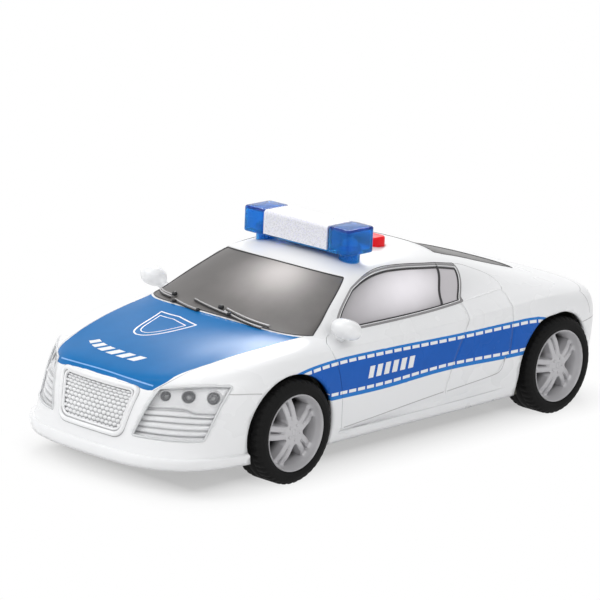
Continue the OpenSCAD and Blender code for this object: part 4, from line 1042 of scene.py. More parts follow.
def open_body(t, v, size):
    """Fits the grid to the windows, lamps, grille, wheel arches and button. Gives t, v and the state of each
    grid point: -1 inside an opening, 0 on its edge, 1 outside all."""
    state = np.ones(t.shape, int)

    def note(result):
        state[...] = np.minimum(state, result[2])
        return result[0], result[1]
    for at in (screen_at, back_at, grille_at):
        t, v = note(open_outline(t, v, *outline(at, -INSERT_GAP, 900)))
    for at in (window_at, lamp_at, tail_at):
        out_t, out_v = outline(at, -INSERT_GAP, 700)
        t, v = note(open_outline(t, v, out_t, out_v))
        t, v = note(open_outline(t, v, mirror_t(out_t), out_v))
    for node, relax in ARCH_RELAX.items():
        low, high = node_box(node)
        for way in (1, -1):
            t, v = note(open_level(t, v, arch_level((low[1] + high[1]) / 2, way, size.arch_radius,
                                                    (low[2] + high[2]) / 2, relax)))
    t, v = note(open_level(t, v, button_level(BUTTON_LOW, BUTTON_HIGH, BUTTON_GAP, BUTTON_CORNER)))
    return t, v, state


def open_faces(state):
    """Faces of the grid outside the openings: whole quads, and half quads where an edge cuts a corner. The
    last row's points, which meet at the roof's middle line, are shared by both sides."""
    rows, cols = state.shape
    quads = grid_faces(rows, cols, True)
    s = state.ravel()[quads]
    has_in, has_out = (s < 0).any(1), (s > 0).any(1)
    faces = [quads[~has_in & has_out]]
    for k in range(4):
        cut = has_in & (s[:, k] > 0) & (s[:, k - 1] == 0) & (s[:, (k + 1) % 4] == 0)
        faces.append(quads[cut][:, [k - 1, k, (k + 1) % 4]])
    shared = np.arange(rows * cols).reshape(rows, cols)
    shared[-1] = (rows - 1) * cols + np.minimum(np.arange(cols), (cols - np.arange(cols)) % cols)
    return [shared.ravel()[f] for f in faces]


def make_body():
    """Body skin on a grid of places (t, v), fitted to the openings and sunk along the panel lines."""
    c, size, _ = settings()
    v_rows = skin_rows(size.cell, size.groove_width)
    t, marks = skin_columns(v_rows, size.cell, size.groove_width)
    v = np.broadcast_to(v_rows[:, None], t.shape).copy()
    seam = np.zeros(t.shape)
    for mark, (low, high) in zip(marks, PANEL_SPAN):
        run = step(v_rows, low, low + 0.15) * (1 - step(v_rows, high - 0.1, high))
        seam[:, mark] = seam[:, t.shape[1] - mark] = run
    side = np.where(t > T_END, mirror_t(t), t)
    sill = int(np.abs(v_rows - SILL_V).argmin())
    seam[sill] = np.maximum(seam[sill], 0.7 * step(side[sill], 5.0, 5.08) * (1 - step(side[sill], 7.3, 7.5)))
    v = v + sill_rise(side) * np.exp(-((v - 3.0) / 0.75) ** 2)
    t, v, state = open_body(t, v, size)

    points = skin(t, v)
    hood = edge_distance(t, v, points, *hood_outline())
    _, glass_gap = nearest(points.reshape(-1, 3), skin(*outline(screen_at, 0, 600)))
    hood = np.minimum(hood, glass_gap.reshape(t.shape) - PRINT_TO_GLASS)
    top, low_edge, run = stripe_values(t, v, points)
    side = np.where(t > T_END, mirror_t(t), t)
    points = points + (body_relief(side, v, sill_rise(side)) - size.groove * seam)[..., None] * normal(t, v)

    faces = open_faces(state)
    used = np.zeros(t.size, bool)
    for f in faces:
        used[f.ravel()] = True
    fresh = np.cumsum(used) - 1
    values = {"hood_edge": hood, "stripe_top": top, "stripe_low": low_edge, "stripe_run": run, "seam": seam}
    body = add_piece("body", (points.reshape(-1, 3)[used], [fresh[f] for f in faces]), painted_body(c, size),
                     replaces=["body_shell"], sharp=60,
                     values={k: a.ravel()[used] for k, a in values.items()})
    wall = body.modifiers.new("wall", "SOLIDIFY")
    wall.thickness = size.wall * MM
    wall.offset = -1.0


def skin_slab(at, low, high, columns, rows, relief=None):
    """Plate over an outline between two depths; relief adds to the upper face."""
    s, r = unit_grid(columns, rows)
    t, v = at(s, r)
    depth = high + (relief(s, r, skin(t, v)) if relief else 0 * s)
    return slab(lift(t, v, depth), lift(t, v, 0 * s + low))


def divider(v):
    """Place of the post between door pane and quarter pane."""
    return curve(v, [9.0, 9.4, 10.71, 11.75, 12.2], [6.72, 6.77, 6.93, 7.36, 7.6])


def painted_reflection_hump(at, columns, rows, place, reach, post=None):
    """Point values of a window plate: a smooth hump round a place, which is a painted reflection, and 1 beyond the
    post.
    """
    s, r = unit_grid(columns, rows)
    hump = np.exp(-((s - place[0]) / reach[0]) ** 2 - ((r - place[1]) / reach[1]) ** 2)
    t, v = at(s, r)
    pane = 1.0 * (t > post(v)) if post else 0 * s
    return {"middle": np.tile(hump.ravel(), 2), "pane": np.tile(pane.ravel(), 2)}


def make_glass():
    """Windows as plates of the skin, with seals: half-round profiles carried along the outlines."""
    c, _, _ = settings()
    screen = window_film("windscreen_smoke", c.screen_low, c.screen_reflection, c.screen_low)
    back = window_film("rear_window_smoke", shade(c.screen_low, 0.45), shade(c.screen_low, 0.8), c.screen_low)
    side = window_film("side_window_silver", c.window_low, c.window_reflection, shade(c.window_low, 2.2))
    seal = moulded("window_seal", c.seal, 0.45, bump=0.1)
    trim = moulded("window_trim", c.trim, 0.35)
    white = moulded("window_line", c.white, 0.3, tone=0.03, bump=0.02)
    foot, face, rows = -1.45, -0.12, 41
    for name, at, film, columns, place, reach in (
            ("windscreen", screen_at, screen, 97, (0.6, 0.8), (0.18, 0.42)),
            ("rear_window", back_at, back, 61, (0.5, 0.6), (0.5, 0.6))):
        add_piece(f"{name}_glass", skin_slab(at, foot, face, columns, rows), film,
                  replaces=[name], values=painted_reflection_hump(at, columns, rows, place, reach))
        add_piece(f"{name}_seal", bead(*outline(at, 0.05, 500, 0.8), 0.45, 0.16), seal)
    columns = 121
    add_pair("side_window_glass", skin_slab(window_at, foot, face, columns, rows), side, "side_window",
             painted_reflection_hump(window_at, columns, rows, (0.52, 0.6), (0.36, 0.48), divider))
    add_pair("side_window_trim", bead(*outline(window_at, -0.1, 460, 1.8), 1.1, 0.26), trim)
    add_pair("side_window_line", bead(*outline(window_at, 0.6, 460, 1.4), 0.36, 0.3), white)
    outer = bead(*outline(window_at, -0.75, 460, 2.4), 0.3, 0.14)
    inner = bead(*outline(window_at, 1.15, 460, 0.8), 0.8, 0.3, raised=-0.1)
    post_v = np.linspace(9.3, 11.86, 40)
    post = bead(divider(post_v), post_v, 1.0, 0.4, closed=False, raised=-0.1)
    add_pair("side_window_seal", join(outer, inner, post), seal)


# Lamps of a headlight: place across and up its outline, and radius.
LAMPS = ((0.15, 0.79, 2.0), (0.5, 0.77, 2.45), (0.86, 0.75, 2.4))


def lamp_ledge(s):
    """Height of the wavy ledge below the lamps."""
    return 0.535 - 0.065 * step(s, 0.5, 0.75)


def slat_phase(r):
    """0 at a slat's crest, 1 in the crease between two."""
    return np.abs(np.mod((r - 0.06) * 9.8, 1.0) * 2 - 1) ** 3


def lamp_distances(p):
    """Distance of points from the middle of each lamp, in that lamp's radii."""
    return [np.linalg.norm(p - skin(*lamp_at(np.array(across), np.array(up))), axis=-1) / radius
            for across, up, radius in LAMPS]


def lamp_relief(s, r, p):
    """Reflector depth: three cups with a raised ring and a bulb, a wavy ledge, and level slats below it."""
    slat_top, slat_depth, ledge_height, step_height = 0.4, 0.8, 0.55, 0.35
    cup_depth, ring_height, bulb_height = 1.3, 0.45, 1.1
    ledge = lamp_ledge(s)
    depth = np.where(r < ledge - 0.06, slat_top - slat_depth * slat_phase(r), 0.0)
    depth = depth + ledge_height * np.exp(-((r - ledge) / 0.022) ** 2)
    depth = depth + step_height * np.exp(-((r - ledge + 0.07) / 0.018) ** 2)
    for d in lamp_distances(p):
        cup = -cup_depth * (1 - step(d, 0.7, 0.95)) + ring_height * np.exp(-((d - 1.0) / 0.12) ** 2)
        depth = np.where(d < 1.2, cup + bulb_height * (1 - step(d, 0.0, 0.45)), depth)
    return depth


def lamp_painted_shade(s, r, p):
    """Painted shade of the reflector: 1 inside the lamp cups, less in the creases between slats, under the ledge and
    towards the inner end.
    """
    ledge = lamp_ledge(s)
    painted_shade = np.where(r < ledge - 0.05, 0.55 * slat_phase(r), 0.12)
    painted_shade = painted_shade + 0.5 * np.exp(-((r - ledge + 0.033) / 0.016) ** 2) + 0.3 * np.exp(-(s / 0.1) ** 2)
    for d in lamp_distances(p):
        painted_shade = np.maximum(painted_shade, (1 - step(d, 0.84, 0.98)) * (0.45 + 0.55 * step(d, 0.25, 0.45)))
    return np.clip(painted_shade, 0, 1)


def make_headlights():
    """Headlights: reflector relief, clear cover and a thin frame along the outline."""
    c, _, _ = settings()
    # The reflector's near-black second tone is painted shade, laid on by the point value painted_shade.
    reflector = two_tone("lamp_reflector", "painted_shade", c.silver, (0.06, 0.06, 0.065), 0.3, 0.3, metal=0.1, bump=0.03)
    cover = clear_plastic("lamp_cover", (0.85, 0.87, 0.9), 0.07)
    frame_finish = moulded("lamp_frame", (0.6, 0.61, 0.62), 0.25, coat=0.3)
    columns, rows = 151, 121
    s, r = unit_grid(columns, rows)
    painted_shade = lamp_painted_shade(s, r, skin(*lamp_at(s, r))).ravel()
    add_pair("headlight_reflector", skin_slab(lamp_at, -3.6, -1.55, columns, rows, lamp_relief), reflector,
             "headlight_bowl", {"painted_shade": np.tile(painted_shade, 2)})
    add_pair("headlight_cover", skin_slab(lamp_at, -0.45, -0.08, 49, 31), cover, "headlight_lens")
    add_pair("headlight_frame", bead(*outline(lamp_at, 0.0, 360, 1.0), 0.7, 0.24), frame_finish)


def make_grille():
    """Grille: staggered round studs that fall to a common floor, darker on that floor as painted shade, inside a
    half-round frame.
    """
    c, _, count = settings()
    columns, rows = 211, 121

    def from_stud(s, r):
        row = np.floor(r * count.grille_rows)
        x = np.mod(s * count.grille_columns + 0.5 * np.mod(row, 2), 1.0) - 0.5
        y = np.mod(r * count.grille_rows, 1.0) - 0.5
        return np.hypot(x, y)

    def studs(s, r, _p):
        return -0.7 * step(from_stud(s, r), 0.12, 0.55)
    # painted shade: darker on the floor between the studs
    painted_shade = step(from_stud(*unit_grid(columns, rows)), 0.36, 0.58).ravel()
    mesh_finish = two_tone("grille_mesh", "pit_shade", c.white, (0.36, 0.36, 0.37), 0.3, 0.45, bump=0.03)
    add_piece("grille_mesh", skin_slab(grille_at, -1.6, -0.35, columns, rows, studs), mesh_finish,
              replaces=["grille"], values={"pit_shade": np.concatenate([painted_shade, 0 * painted_shade])}, sharp=60)
    outer = bead(*outline(grille_at, -0.75, 420, 7.0), 1.6, 0.75)
    inner = bead(*outline(grille_at, 0.5, 420, 6.0), 0.8, 0.4, raised=-0.2)
    frame_finish = moulded("grille_frame", c.white, 0.28, tone=0.03, coat=0.25)
    add_piece("grille_frame", join(outer, inner), frame_finish)
    line = join(bead(*outline(grille_at, -1.65, 420, 7.5), 0.28, 0.05),
                bead(*outline(grille_at, 0.0, 420, 6.5), 0.3, 0.25))
    add_piece("grille_line", line, moulded("grille_grey", (0.4, 0.4, 0.41), 0.4))


def make_tail():
    """Tail lights with level ribs, darker in the creases between them as painted shade, and their frames."""
    c, _, _ = settings()
    # The lens's darker tone is painted shade in the creases between the ribs.
    red = two_tone("tail_lens", "rib_crease_shade", c.tail, shade(c.tail, 0.45), 0.12, 0.2, coat=0.4, bump=0.02)
    columns, rows, ribs = 61, 49, 5

    def crease(r):
        return np.abs(np.mod(r * ribs, 1) - 0.5) * 2
    lens = skin_slab(tail_at, -1.45, -0.1, columns, rows, lambda s, r, p: -0.3 * crease(r) ** 2)
    rib_crease_shade = np.tile(crease(unit_grid(columns, rows)[1]).ravel(), 2)
    add_pair("tail_lens", lens, red, "tail_light", {"rib_crease_shade": rib_crease_shade})
    add_pair("tail_frame", bead(*outline(tail_at, 0.0, 300, 0.8), 0.8, 0.3), moulded("tail_trim", c.trim, 0.3))


# ---------------------------------------------------------------------------------------------
# Mirrors, wipers, light bar, button
# ---------------------------------------------------------------------------------------------

def make_mirrors():
    """Door mirrors: a pod whose section swells and closes along the car, on a short arm, with a glass."""
    c, _, _ = settings()
    paint = moulded("mirror_paint", c.white, 0.26, tone=0.02, bump=0.02, coat=0.25)
    glass = moulded("mirror_glass", (0.5, 0.52, 0.55), 0.08, metal=0.8, bump=0.0)
    root = skin(5.12, 8.25)
    pod = root + [3.6, -3.4, 4.3]
    half_wide, half_tall, squareness, fullest, least = 5.0, 3.5, 0.9, 0.62, 0.04
    f = np.linspace(0, 1, 26)
    y = blend(-3.5, 3.2, f)
    swell = np.sqrt(np.clip(1 - (1 - np.clip(f / fullest, 0, 1)) ** 2, 0, 1)) * (1 - 0.1 * step(f, 0.7, 1))
    swell = np.maximum(swell, least)
    a = np.linspace(0, 2 * math.pi, 40, endpoint=False)
    wide, tall = (half * np.sign(k) * np.abs(k) ** squareness
                  for half, k in ((half_wide, np.cos(a)), (half_tall, np.sin(a))))
    rings = np.stack([pod[0] + 0.4 + swell[:, None] * wide + 0.8 * f[:, None], pod[1] + y[:, None] + 0 * a,
                      pod[2] + 1.0 - 1.4 * f[:, None] + swell[:, None] * tall], -1)
    steps = 8
    arm_path = blend(root - [1.4, -1.2, 0.9], pod - [1.0, -0.6, 1.0], np.linspace(0, 1, steps)[:, None])
    arm = rod(arm_path, np.linspace(1.9, 1.5, steps), 16)
    back = rings[-1].mean(0)
    plate = np.stack([back + (rings[-1] - back) * k + [0, d, 0] for k, d in ((0.9, -0.4), (0.9, 0.12), (0.84, 0.2))])
    add_pair("door_mirror", join(ring_solid(rings), arm), paint, "mirror")
    add_pair("door_mirror_glass", ring_solid(plate), glass)


def glass_run(a, b, count, raised):
    """Path over the windscreen between two places."""
    f = np.linspace(0, 1, count)
    return lift(blend(a[0], b[0], f), blend(a[1], b[1], f), raised + 0 * f)


def make_wipers():
    """Wipers: rods carried along the glass, with round pivots and clips, and a black rod just below each rod as a
    painted shadow. Each has its rods (start, end, height), its knobs (place, height, radius) and the rod that holds
    the blade."""
    steel = moulded("wiper_steel", (0.5, 0.49, 0.49), 0.25, metal=0.4, bump=0.1, gloss=0.5)
    black = moulded("wiper_rubber_and_shadow", (0.02, 0.02, 0.021), 0.4, bump=0.1)
    runs = {
        "left": ([((-1.29, 10.39), (0.7, 10.26), 0.4), ((0.35, 10.38), (2.5, 10.12), 0.7),
                  ((0.35, 10.31), (2.3, 10.05), 0.5)],
                 [((0.11, 10.36), 0.85, 0.95), ((0.64, 10.26), 0.5, 0.8)], 0),
        "right": ([((-4.0, 10.06), (-2.55, 10.22), 0.7), ((-3.95, 10.02), (-2.5, 10.18), 0.5),
                   ((-2.1, 10.18), (-0.6, 10.16), 0.5)],
                  [((-2.46, 10.26), 0.8, 0.9), ((-2.05, 10.13), 0.5, 0.75), ((-0.6, 10.16), 0.5, 0.7)], 2),
    }
    thick, thin, points, sides = 0.27, 0.22, 24, 8
    for name, (rods, knobs, blade) in runs.items():
        bars = [rod(glass_run(a, b, points, up), thick, sides) for a, b, up in rods]
        bars.append(rod(glass_run(*rods[blade][:2], points, 0.12), thin, sides))
        clips_and_shadows = [ball(lift(np.array(at[0]), np.array(at[1]), up), (size, size, 0.8 * size), 10, 0.8)
                 for at, up, size in knobs]
        # Black rods just below each rod: a painted shadow of the wiper on the glass.
        clips_and_shadows += [rod(glass_run((a[0], a[1] - 0.03), (b[0], b[1] - 0.03), points, 0.25), thin, sides)
                  for a, b, _ in rods]
        add_piece(f"wiper_arm_{name}", join(*bars), steel, replaces=[f"wiper_{name}"])
        add_piece(f"wiper_clips_and_shadows_{name}", join(*clips_and_shadows), black)


def make_light_bar():
    """Light bar: two hollow blue caps, a tray between them, a glitter sleeve bent over the tray, and two
    posts: a section carried round an upright line."""
    c, _, _ = settings()
    blue = beacon_plastic("beacon_blue", c.beacon)
    low, high = node_box("light_bar_lens")
    s_low, s_high = node_box("light_bar_sleeve")
    wall, longer, inset = 1.2, 0.7, 0.75
    shapes = []
    for way in (1, -1):
        a, b = s_high[0] + 0.05, high[0] + longer
        x0, x1 = (a, b) if way > 0 else (-b, -a)
        shapes.append(rounded_box((x0, low[1], low[2]), (x1, high[1], high[2]), 1.7, 0.7))
        shapes.append(inward(rounded_box((x0 + wall, low[1] + wall, low[2] + wall),
                                         (x1 - wall, high[1] - wall, high[2] - wall), 0.5, 0.3)))
    shapes.append(rounded_box((-s_high[0], low[1] + inset, low[2]),
                              (s_high[0], high[1] - inset, low[2] + wall), 0.4, 0.2))
    add_piece("light_bar_caps", join(*shapes), blue, replaces=["light_bar_lens"])
    y0, y1, z0, z1 = s_low[1], s_high[1], low[2] + inset, s_high[2]

    def arch(d):
        r = 1.1
        a = np.linspace(0, math.pi / 2, 8)
        right_y, right_z = y1 - r + (r - d) * np.cos(a), z1 - r + (r - d) * np.sin(a)
        up = np.linspace(z0, z1 - r, 12)[:-1]
        y = np.concatenate([0 * up + y1 - d, right_y, (y0 + y1 - right_y)[::-1], 0 * up + y0 + d])
        z = np.concatenate([up, right_z, right_z[::-1], up[::-1]])
        x = np.linspace(s_low[0], s_high[0], 40)[:, None]
        return np.stack([x + 0 * y, 0 * x + y, 0 * x + z], -1)
    add_piece("light_bar_film", slab(arch(0), arch(0.7)), glitter("glitter_film", (0.8, 0.8, 0.84)),
              replaces=["light_bar_sleeve"])
    bore, outside, top_edge, bevel = 2.6, 3.5, 3.2, 0.3
    for name in ("left", "right"):
        p_low, p_high = node_box(f"light_post_{name}")
        middle, foot, top = (p_low + p_high) / 2, p_low[2], p_high[2]
        z = np.array([foot, top - bevel, top, top, foot])[:, None]
        r = np.array([outside, outside, top_edge, bore, bore])[:, None]
        a = np.linspace(0, 2 * math.pi, 48, endpoint=False)
        rings = np.stack([middle[0] + r * np.cos(a), middle[1] + r * np.sin(a), z + 0 * a], -1)
        add_piece(f"light_post_tube_{name}", loop_solid(rings), blue, replaces=[f"light_post_{name}"])


def make_button():
    """Push button: a pill with rounded top edge on its flange; its stem ends a full press above the dome."""
    c, _, _ = settings()
    low, high = BUTTON_LOW, BUTTON_HIGH
    node_low, node_high = node_box("roof_button")
    middle, press, stem_half = (low[1] + high[1]) / 2, 1.5, 2.5
    flange_foot, pill_foot, stem_top, flange_top = 57.2, 57.3, 57.4, 58.2
    stem = rounded_box((-stem_half, middle - stem_half, node_low[2] + press),
                       (stem_half, middle + stem_half, stem_top), 1.0, 0.1)
    pill = rounded_box((low[0], low[1], pill_foot), high, 2.4, 0.75)
    flange = rounded_box((node_low[0], node_low[1], flange_foot), (node_high[0], node_high[1], flange_top), 2.4, 0.2)
    add_piece("push_button", join(pill, flange, stem), moulded("button_red", c.button, 0.3, gloss=0.15),
              body="button", replaces=["roof_button"])


# ---------------------------------------------------------------------------------------------
# Wheels
# ---------------------------------------------------------------------------------------------

TYRE_WIDTH, TYRE_RADIUS = 13.0, 17.1


def tyre_grid(blocks, turns=264):
    """Tyre: a closed section carried round the axle. The section's tread part sinks at two grooves all the
    way round and, near the shoulders, at slots spaced round the tyre."""
    key = np.array([(12.75, 1.2), (12.75, 0.6), (13.3, 0.15), (14.2, 0.05), (15.3, 0.2), (16.2, 0.6), (16.8, 1.3),
                    (17.1, 2.3), (17.1, 6.5), (17.1, 10.7), (16.8, 11.7), (16.2, 12.4), (15.3, 12.8),
                    (14.2, 12.95), (13.3, 12.85), (12.75, 12.4), (12.75, 11.8)])
    groove_depth, slot_depth, middle = 0.55, 0.38, TYRE_WIDTH / 2
    f = np.linspace(0, len(key) - 1, 97)
    r = curve(f, np.arange(len(key)), key[:, 0])
    x = curve(f, np.arange(len(key)), key[:, 1])
    r = np.minimum(r, TYRE_RADIUS)
    ridge = 0.12 * np.exp(-((r - 14.6) / 0.16) ** 2) * (np.abs(x - middle) > 5.5)
    x = x + ridge * np.sign(x - middle) * 0.8
    groove = sum(groove_depth * (1 - step(np.abs(x - g), 0.3, 0.55)) for g in (4.9, 8.1)) * (r > 16.5)
    shoulder = step(np.abs(x - middle), 2.6, 3.0) * step(r, 15.9, 16.5)
    a = np.linspace(0, 2 * math.pi, turns, endpoint=False)
    slot = 1 - step(np.abs(np.mod(a * blocks / (2 * math.pi), 1) - 0.5), 0.1, 0.22)
    r = r[:, None] - (groove[:, None] + slot_depth * shoulder[:, None] * slot)
    return np.stack([x[:, None] + 0 * a, r * np.cos(a), r * np.sin(a)], -1)


def rim_rings(pairs):
    """Rim face: height over (radius, angle). Angles follow the edges of each pair of spokes at every radius,
    so gaps and slots have straight sides; the dish falls from the lip to the spokes and rises to the hub."""
    r = np.array([0.9, 2.0, 3.1, 3.7, 4.0, 4.6, 5.2, 5.7, 5.95, 6.6, 7.4, 8.3, 9.2, 10.1, 10.75, 10.95, 11.2, 11.6,
                  12.0, 12.25, 12.45, 12.62, 12.7])
    top = curve(r, [0, 2, 3.7, 6, 8.5, 10.95, 11.2, 11.6, 12.0, 12.25, 12.45, 12.62, 12.7],
                [-1.15, -1.2, -1.35, -1.7, -2.3, -3.2, -3.1, -2.4, -1.3, -0.55, -0.32, -0.4, -0.7])
    flat, edge, gap, slot = range(4)
    gap_depth, slot_depth, edge_depth, rim_end = 5.6, 2.2, 0.3, 11.0
    reach = step(r, 4.0, rim_end)
    outer = np.minimum(np.arcsin(blend(2.15, 2.5, reach) / np.maximum(r, 3.0)), 0.57)
    inner = np.arcsin(blend(0.22, 0.5, reach) / np.maximum(r, 3.0))
    wall, bevel = np.minimum(0.22 / r, 0.05), np.minimum(0.28 / r, 0.06)
    slot_edge = np.maximum(inner - wall, inner * 0.35)
    sector = 2 * math.pi / pairs
    f = np.linspace(0, 1, 6)
    gap_a = blend(-sector / 2, -(outer + wall)[:, None], f)
    gap_b = blend((outer + wall)[:, None], sector / 2, f)[:, :-1]
    spokes = np.stack([-outer, bevel - outer, -(inner + bevel), -inner, -slot_edge, 0 * r, slot_edge, inner,
                       inner + bevel, outer - bevel, outer], 1)
    angle = np.concatenate([gap_a, spokes, gap_b], 1)
    kind = np.array([gap] * 6 + [edge, flat, flat, edge, slot, slot, slot, edge, flat, flat, edge] + [gap] * 5)
    in_gap = (r > 4.5) & (r < rim_end)
    in_slot = (r > 5.9) & (r < rim_end)
    drop = np.zeros(angle.shape)
    drop[:, kind == gap] = in_gap[:, None] * gap_depth
    drop[:, kind == slot] = in_slot[:, None] * slot_depth
    drop[:, kind == edge] = (in_gap * edge_depth)[:, None]
    # deep is painted shade: the face darker the further it drops into the gaps and slots
    light = -0.8
    deep = np.tile(blend(light, 1.0, np.clip(drop / 4.0, 0, 1)), (1, pairs))
    height = np.tile(top[:, None] - drop, (1, pairs))
    angle = (angle[:, None, :] + np.arange(pairs)[:, None] * sector).reshape(len(r), -1)
    wide = angle.shape[1]
    back_r, back_h = [12.7, 12.7, 11.2], [-1.2, -11.4, -11.9]
    radius = np.tile(np.append(r, back_r)[:, None], (1, wide))
    height = np.concatenate([height, np.tile(np.array(back_h)[:, None], (1, wide))])
    deep = np.concatenate([deep, np.full((3, wide), light)])
    angle = np.concatenate([angle, np.tile(angle[-1], (3, 1))])
    return np.stack([height, radius * np.cos(angle), radius * np.sin(angle)], -1), deep


def make_wheels():
    """Tyres and rims on both axles; the right wheels are the left ones turned half round."""
    c, _, count = settings()
    rubber = moulded("tyre_rubber", c.rubber, 0.7, tone=0.25, cloud=120.0, grain=1500.0, bump=0.18, gloss=0.12)
    # The rim's near-black tone is painted shade in the deep gaps and slots.
    alloy = two_tone("rim_silver", "deep", c.rim, (0.02, 0.02, 0.021), 0.34, 0.5, metal=0.1, bump=0.04)
    tyre = tyre_grid(count.tread_blocks)
    face, deep = rim_rings(count.spoke_pairs)
    boss, lug_circle, turn = -1.25, 2.55, 0.52
    lugs = []
    for k in range(count.spoke_pairs):
        a = (k + 0.5) * 2 * math.pi / count.spoke_pairs
        lugs.append(ball((boss, lug_circle * math.cos(a), lug_circle * math.sin(a)), (0.35, 0.55, 0.55), 8))
    lugs.append(ball((boss, 0, 0), (0.4, 1.15, 1.15), 12))
    rim = join(ring_solid(face), *lugs)
    deep = np.concatenate([deep.ravel(), np.zeros(len(rim[0]) - deep.size)])
    spin = np.array([[1, 0, 0], [0, math.cos(turn), -math.sin(turn)], [0, math.sin(turn), math.cos(turn)]])
    for axle in ("front", "rear"):
        body = f"{axle}_wheels"
        for name, way in (("left", 1), ("right", -1)):
            low, high = node_box(f"tyre_{axle}_{name}")
            centre = (low + high) / 2
            hub = [high[0] if way > 0 else low[0], centre[1], centre[2]]

            def placed(points, shift):
                return (points + [shift, 0, 0]) @ spin.T * [way, way, 1] + hub
            add_piece(f"tyre_tread_{axle}_{name}", loop_solid(placed(tyre, -TYRE_WIDTH)), rubber,
                      body=body, replaces=[f"tyre_{axle}_{name}"], sharp=50)
            add_piece(f"rim_dish_{axle}_{name}", (placed(rim[0], 0.0), rim[1]), alloy, body=body,
                      replaces=[f"rim_{axle}_{name}"], sharp=38, values={"deep": deep})


# ---------------------------------------------------------------------------------------------
# Prints and carried-over solids
# ---------------------------------------------------------------------------------------------

def skin_bar(corners, columns, rows, raised=0.05, sunk=0.2):
    """Thin plate on the skin over a four-sided patch given by its corners (t, v)."""
    s, r = unit_grid(columns, rows)
    t, v = (blend(blend(a, b, s), blend(d, c, s), r) for a, b, c, d in zip(*corners))
    return slab(lift(t, v, raised + 0 * s), lift(t, v, -sunk + 0 * s))


def make_prints():
    """White prints: a shield outline and a row of slanted bars on the bonnet, bars on the doors."""
    c, _, _ = settings()
    ink = moulded("print_white", c.white, 0.3, tone=0.03, bump=0.02, coat=0.2)
    count, share = 6, 0.62
    low_v, tall, slant = 8.2, 0.27, 0.16
    bars = []
    for k in range(count):
        t0, t1 = (blend(-1.57, 0.47, f / count) for f in (k, k + share))
        bars.append(skin_bar([(t0, low_v), (t1, low_v), (t1 + slant, low_v + tall), (t0 + slant, low_v + tall)], 5, 5))
    shoulder, peak, tip = 0.72, 0.9, -1.0
    f = np.linspace(0, 1, 30)
    side_y = blend(shoulder, tip, f)
    side_x = np.abs((side_y - tip) / (shoulder - tip)) ** 0.5 * (1 - 0.05 * np.sin(math.pi * f))
    shield_x = np.concatenate([[0], side_x, -side_x[-2::-1]])
    shield_y = np.concatenate([[peak], side_y, side_y[-2::-1]])
    mid_t, half_t, mid_v, half_v = -0.87, 0.95, 9.5, 0.42
    shields = [bead(*evenly(mid_t + half_t * k * shield_x, mid_v + half_v * k * shield_y, 220), wide, 0.05, 0.2)
               for k, wide in ((1.0, 0.6), (0.72, 0.4))]
    add_piece("bonnet_print", join(*bars, *shields), ink)
    start, pitch, wide, slant, low_v, high_v = 5.45, 0.12, 0.075, 0.03, 4.98, 5.55
    door = []
    for k in range(count):
        t0, t1 = start + pitch * k, start + pitch * k + wide
        door.append(skin_bar([(t0, low_v), (t1, low_v), (t1 + slant, high_v), (t0 + slant, high_v)], 4, 5))
    add_pair("door_print", join(*door), ink)


# Fine panel lines as skin places: wing, roof, tail corner, bumper, tail edge and the sill's folds.
SEAMS = (
    [(2.85, 5.72), (2.96, 5.67), (3.24, 5.57), (3.44, 5.475)],
    [(7.96, 9.41), (8.1, 9.9), (8.13, 10.23), (8.12, 10.6), (8.08, 10.94), (7.95, 11.2)],
    [(8.81, 6.91), (8.83, 6.2), (8.86, 5.61), (8.88, 5.2)],
    [(8.62, 4.93), (8.9, 4.9), (9.4, 4.75), (10.2, 4.6), (11.0, 4.55)],
    [(8.81, 6.91), (9.3, 7.5), (9.8, 7.92), (10.36, 8.2), (11.0, 8.3)],
    DOOR_FOLD,
    PANEL_FOLD,
)


def make_seams():
    """Fine panel lines in grey, which is painted shade in their grooves and folds, a fold on each rear quarter and the
    line across the bonnet's front in a paler blue, a painted highlight: flat profiles carried along the skin."""
    c, _, _ = settings()
    # The grey of these lines is painted shade in the panel grooves and along the sill's folds.
    grey = moulded("seam_shade_grey", (0.44, 0.435, 0.44), 0.4, bump=0.03)
    sink, beside_print = 0.15, [0.05, 0]
    halves = []
    for bonnet in (HOOD_EDGE, HOOD_FAR):
        runs = []
        for places in (*SEAMS, bonnet[:-1] + beside_print):
            t, v = np.array(places).T
            k = np.arange(len(t))
            f = np.linspace(0, k[-1], 60)
            line = evenly(curve(f, k, t), curve(f, k, v), 48, closed=False)
            runs.append(bead(*line, 0.3, 0.03, sink, closed=False))
        halves.append(join(*runs))
    add_piece("panel_seams", join(halves[0], mirrored(halves[1])), grey)
    fold_t, fold_v = np.array([(6.98, 9.0), (7.29, 8.8), (7.62, 8.72), (7.7, 8.7)]).T
    t = np.linspace(fold_t[0], fold_t[-1], 40)
    fold = bead(t, curve(t, fold_t, fold_v), 0.5, 0.1, sink, closed=False)
    add_piece("quarter_folds", join(fold, mirrored(fold)), moulded("fold_white", c.white, 0.25, tone=0.02))
    half = 1.3
    t = np.linspace(-half, half, 80)
    v = curve(t, [-half, -0.7, 0, 0.7, half], [6.35, 6.72, 6.9, 6.72, 6.35])
    lip = bead(*evenly(t, v, 80, closed=False), 0.5, 0.14, sink, closed=False)
    # The bonnet lip's pale blue is a painted highlight along the crease.
    add_piece("bonnet_lip", lip, moulded("lip_highlight_blue", (0.2, 0.42, 0.78), 0.2, bump=0.02, gloss=0.5))


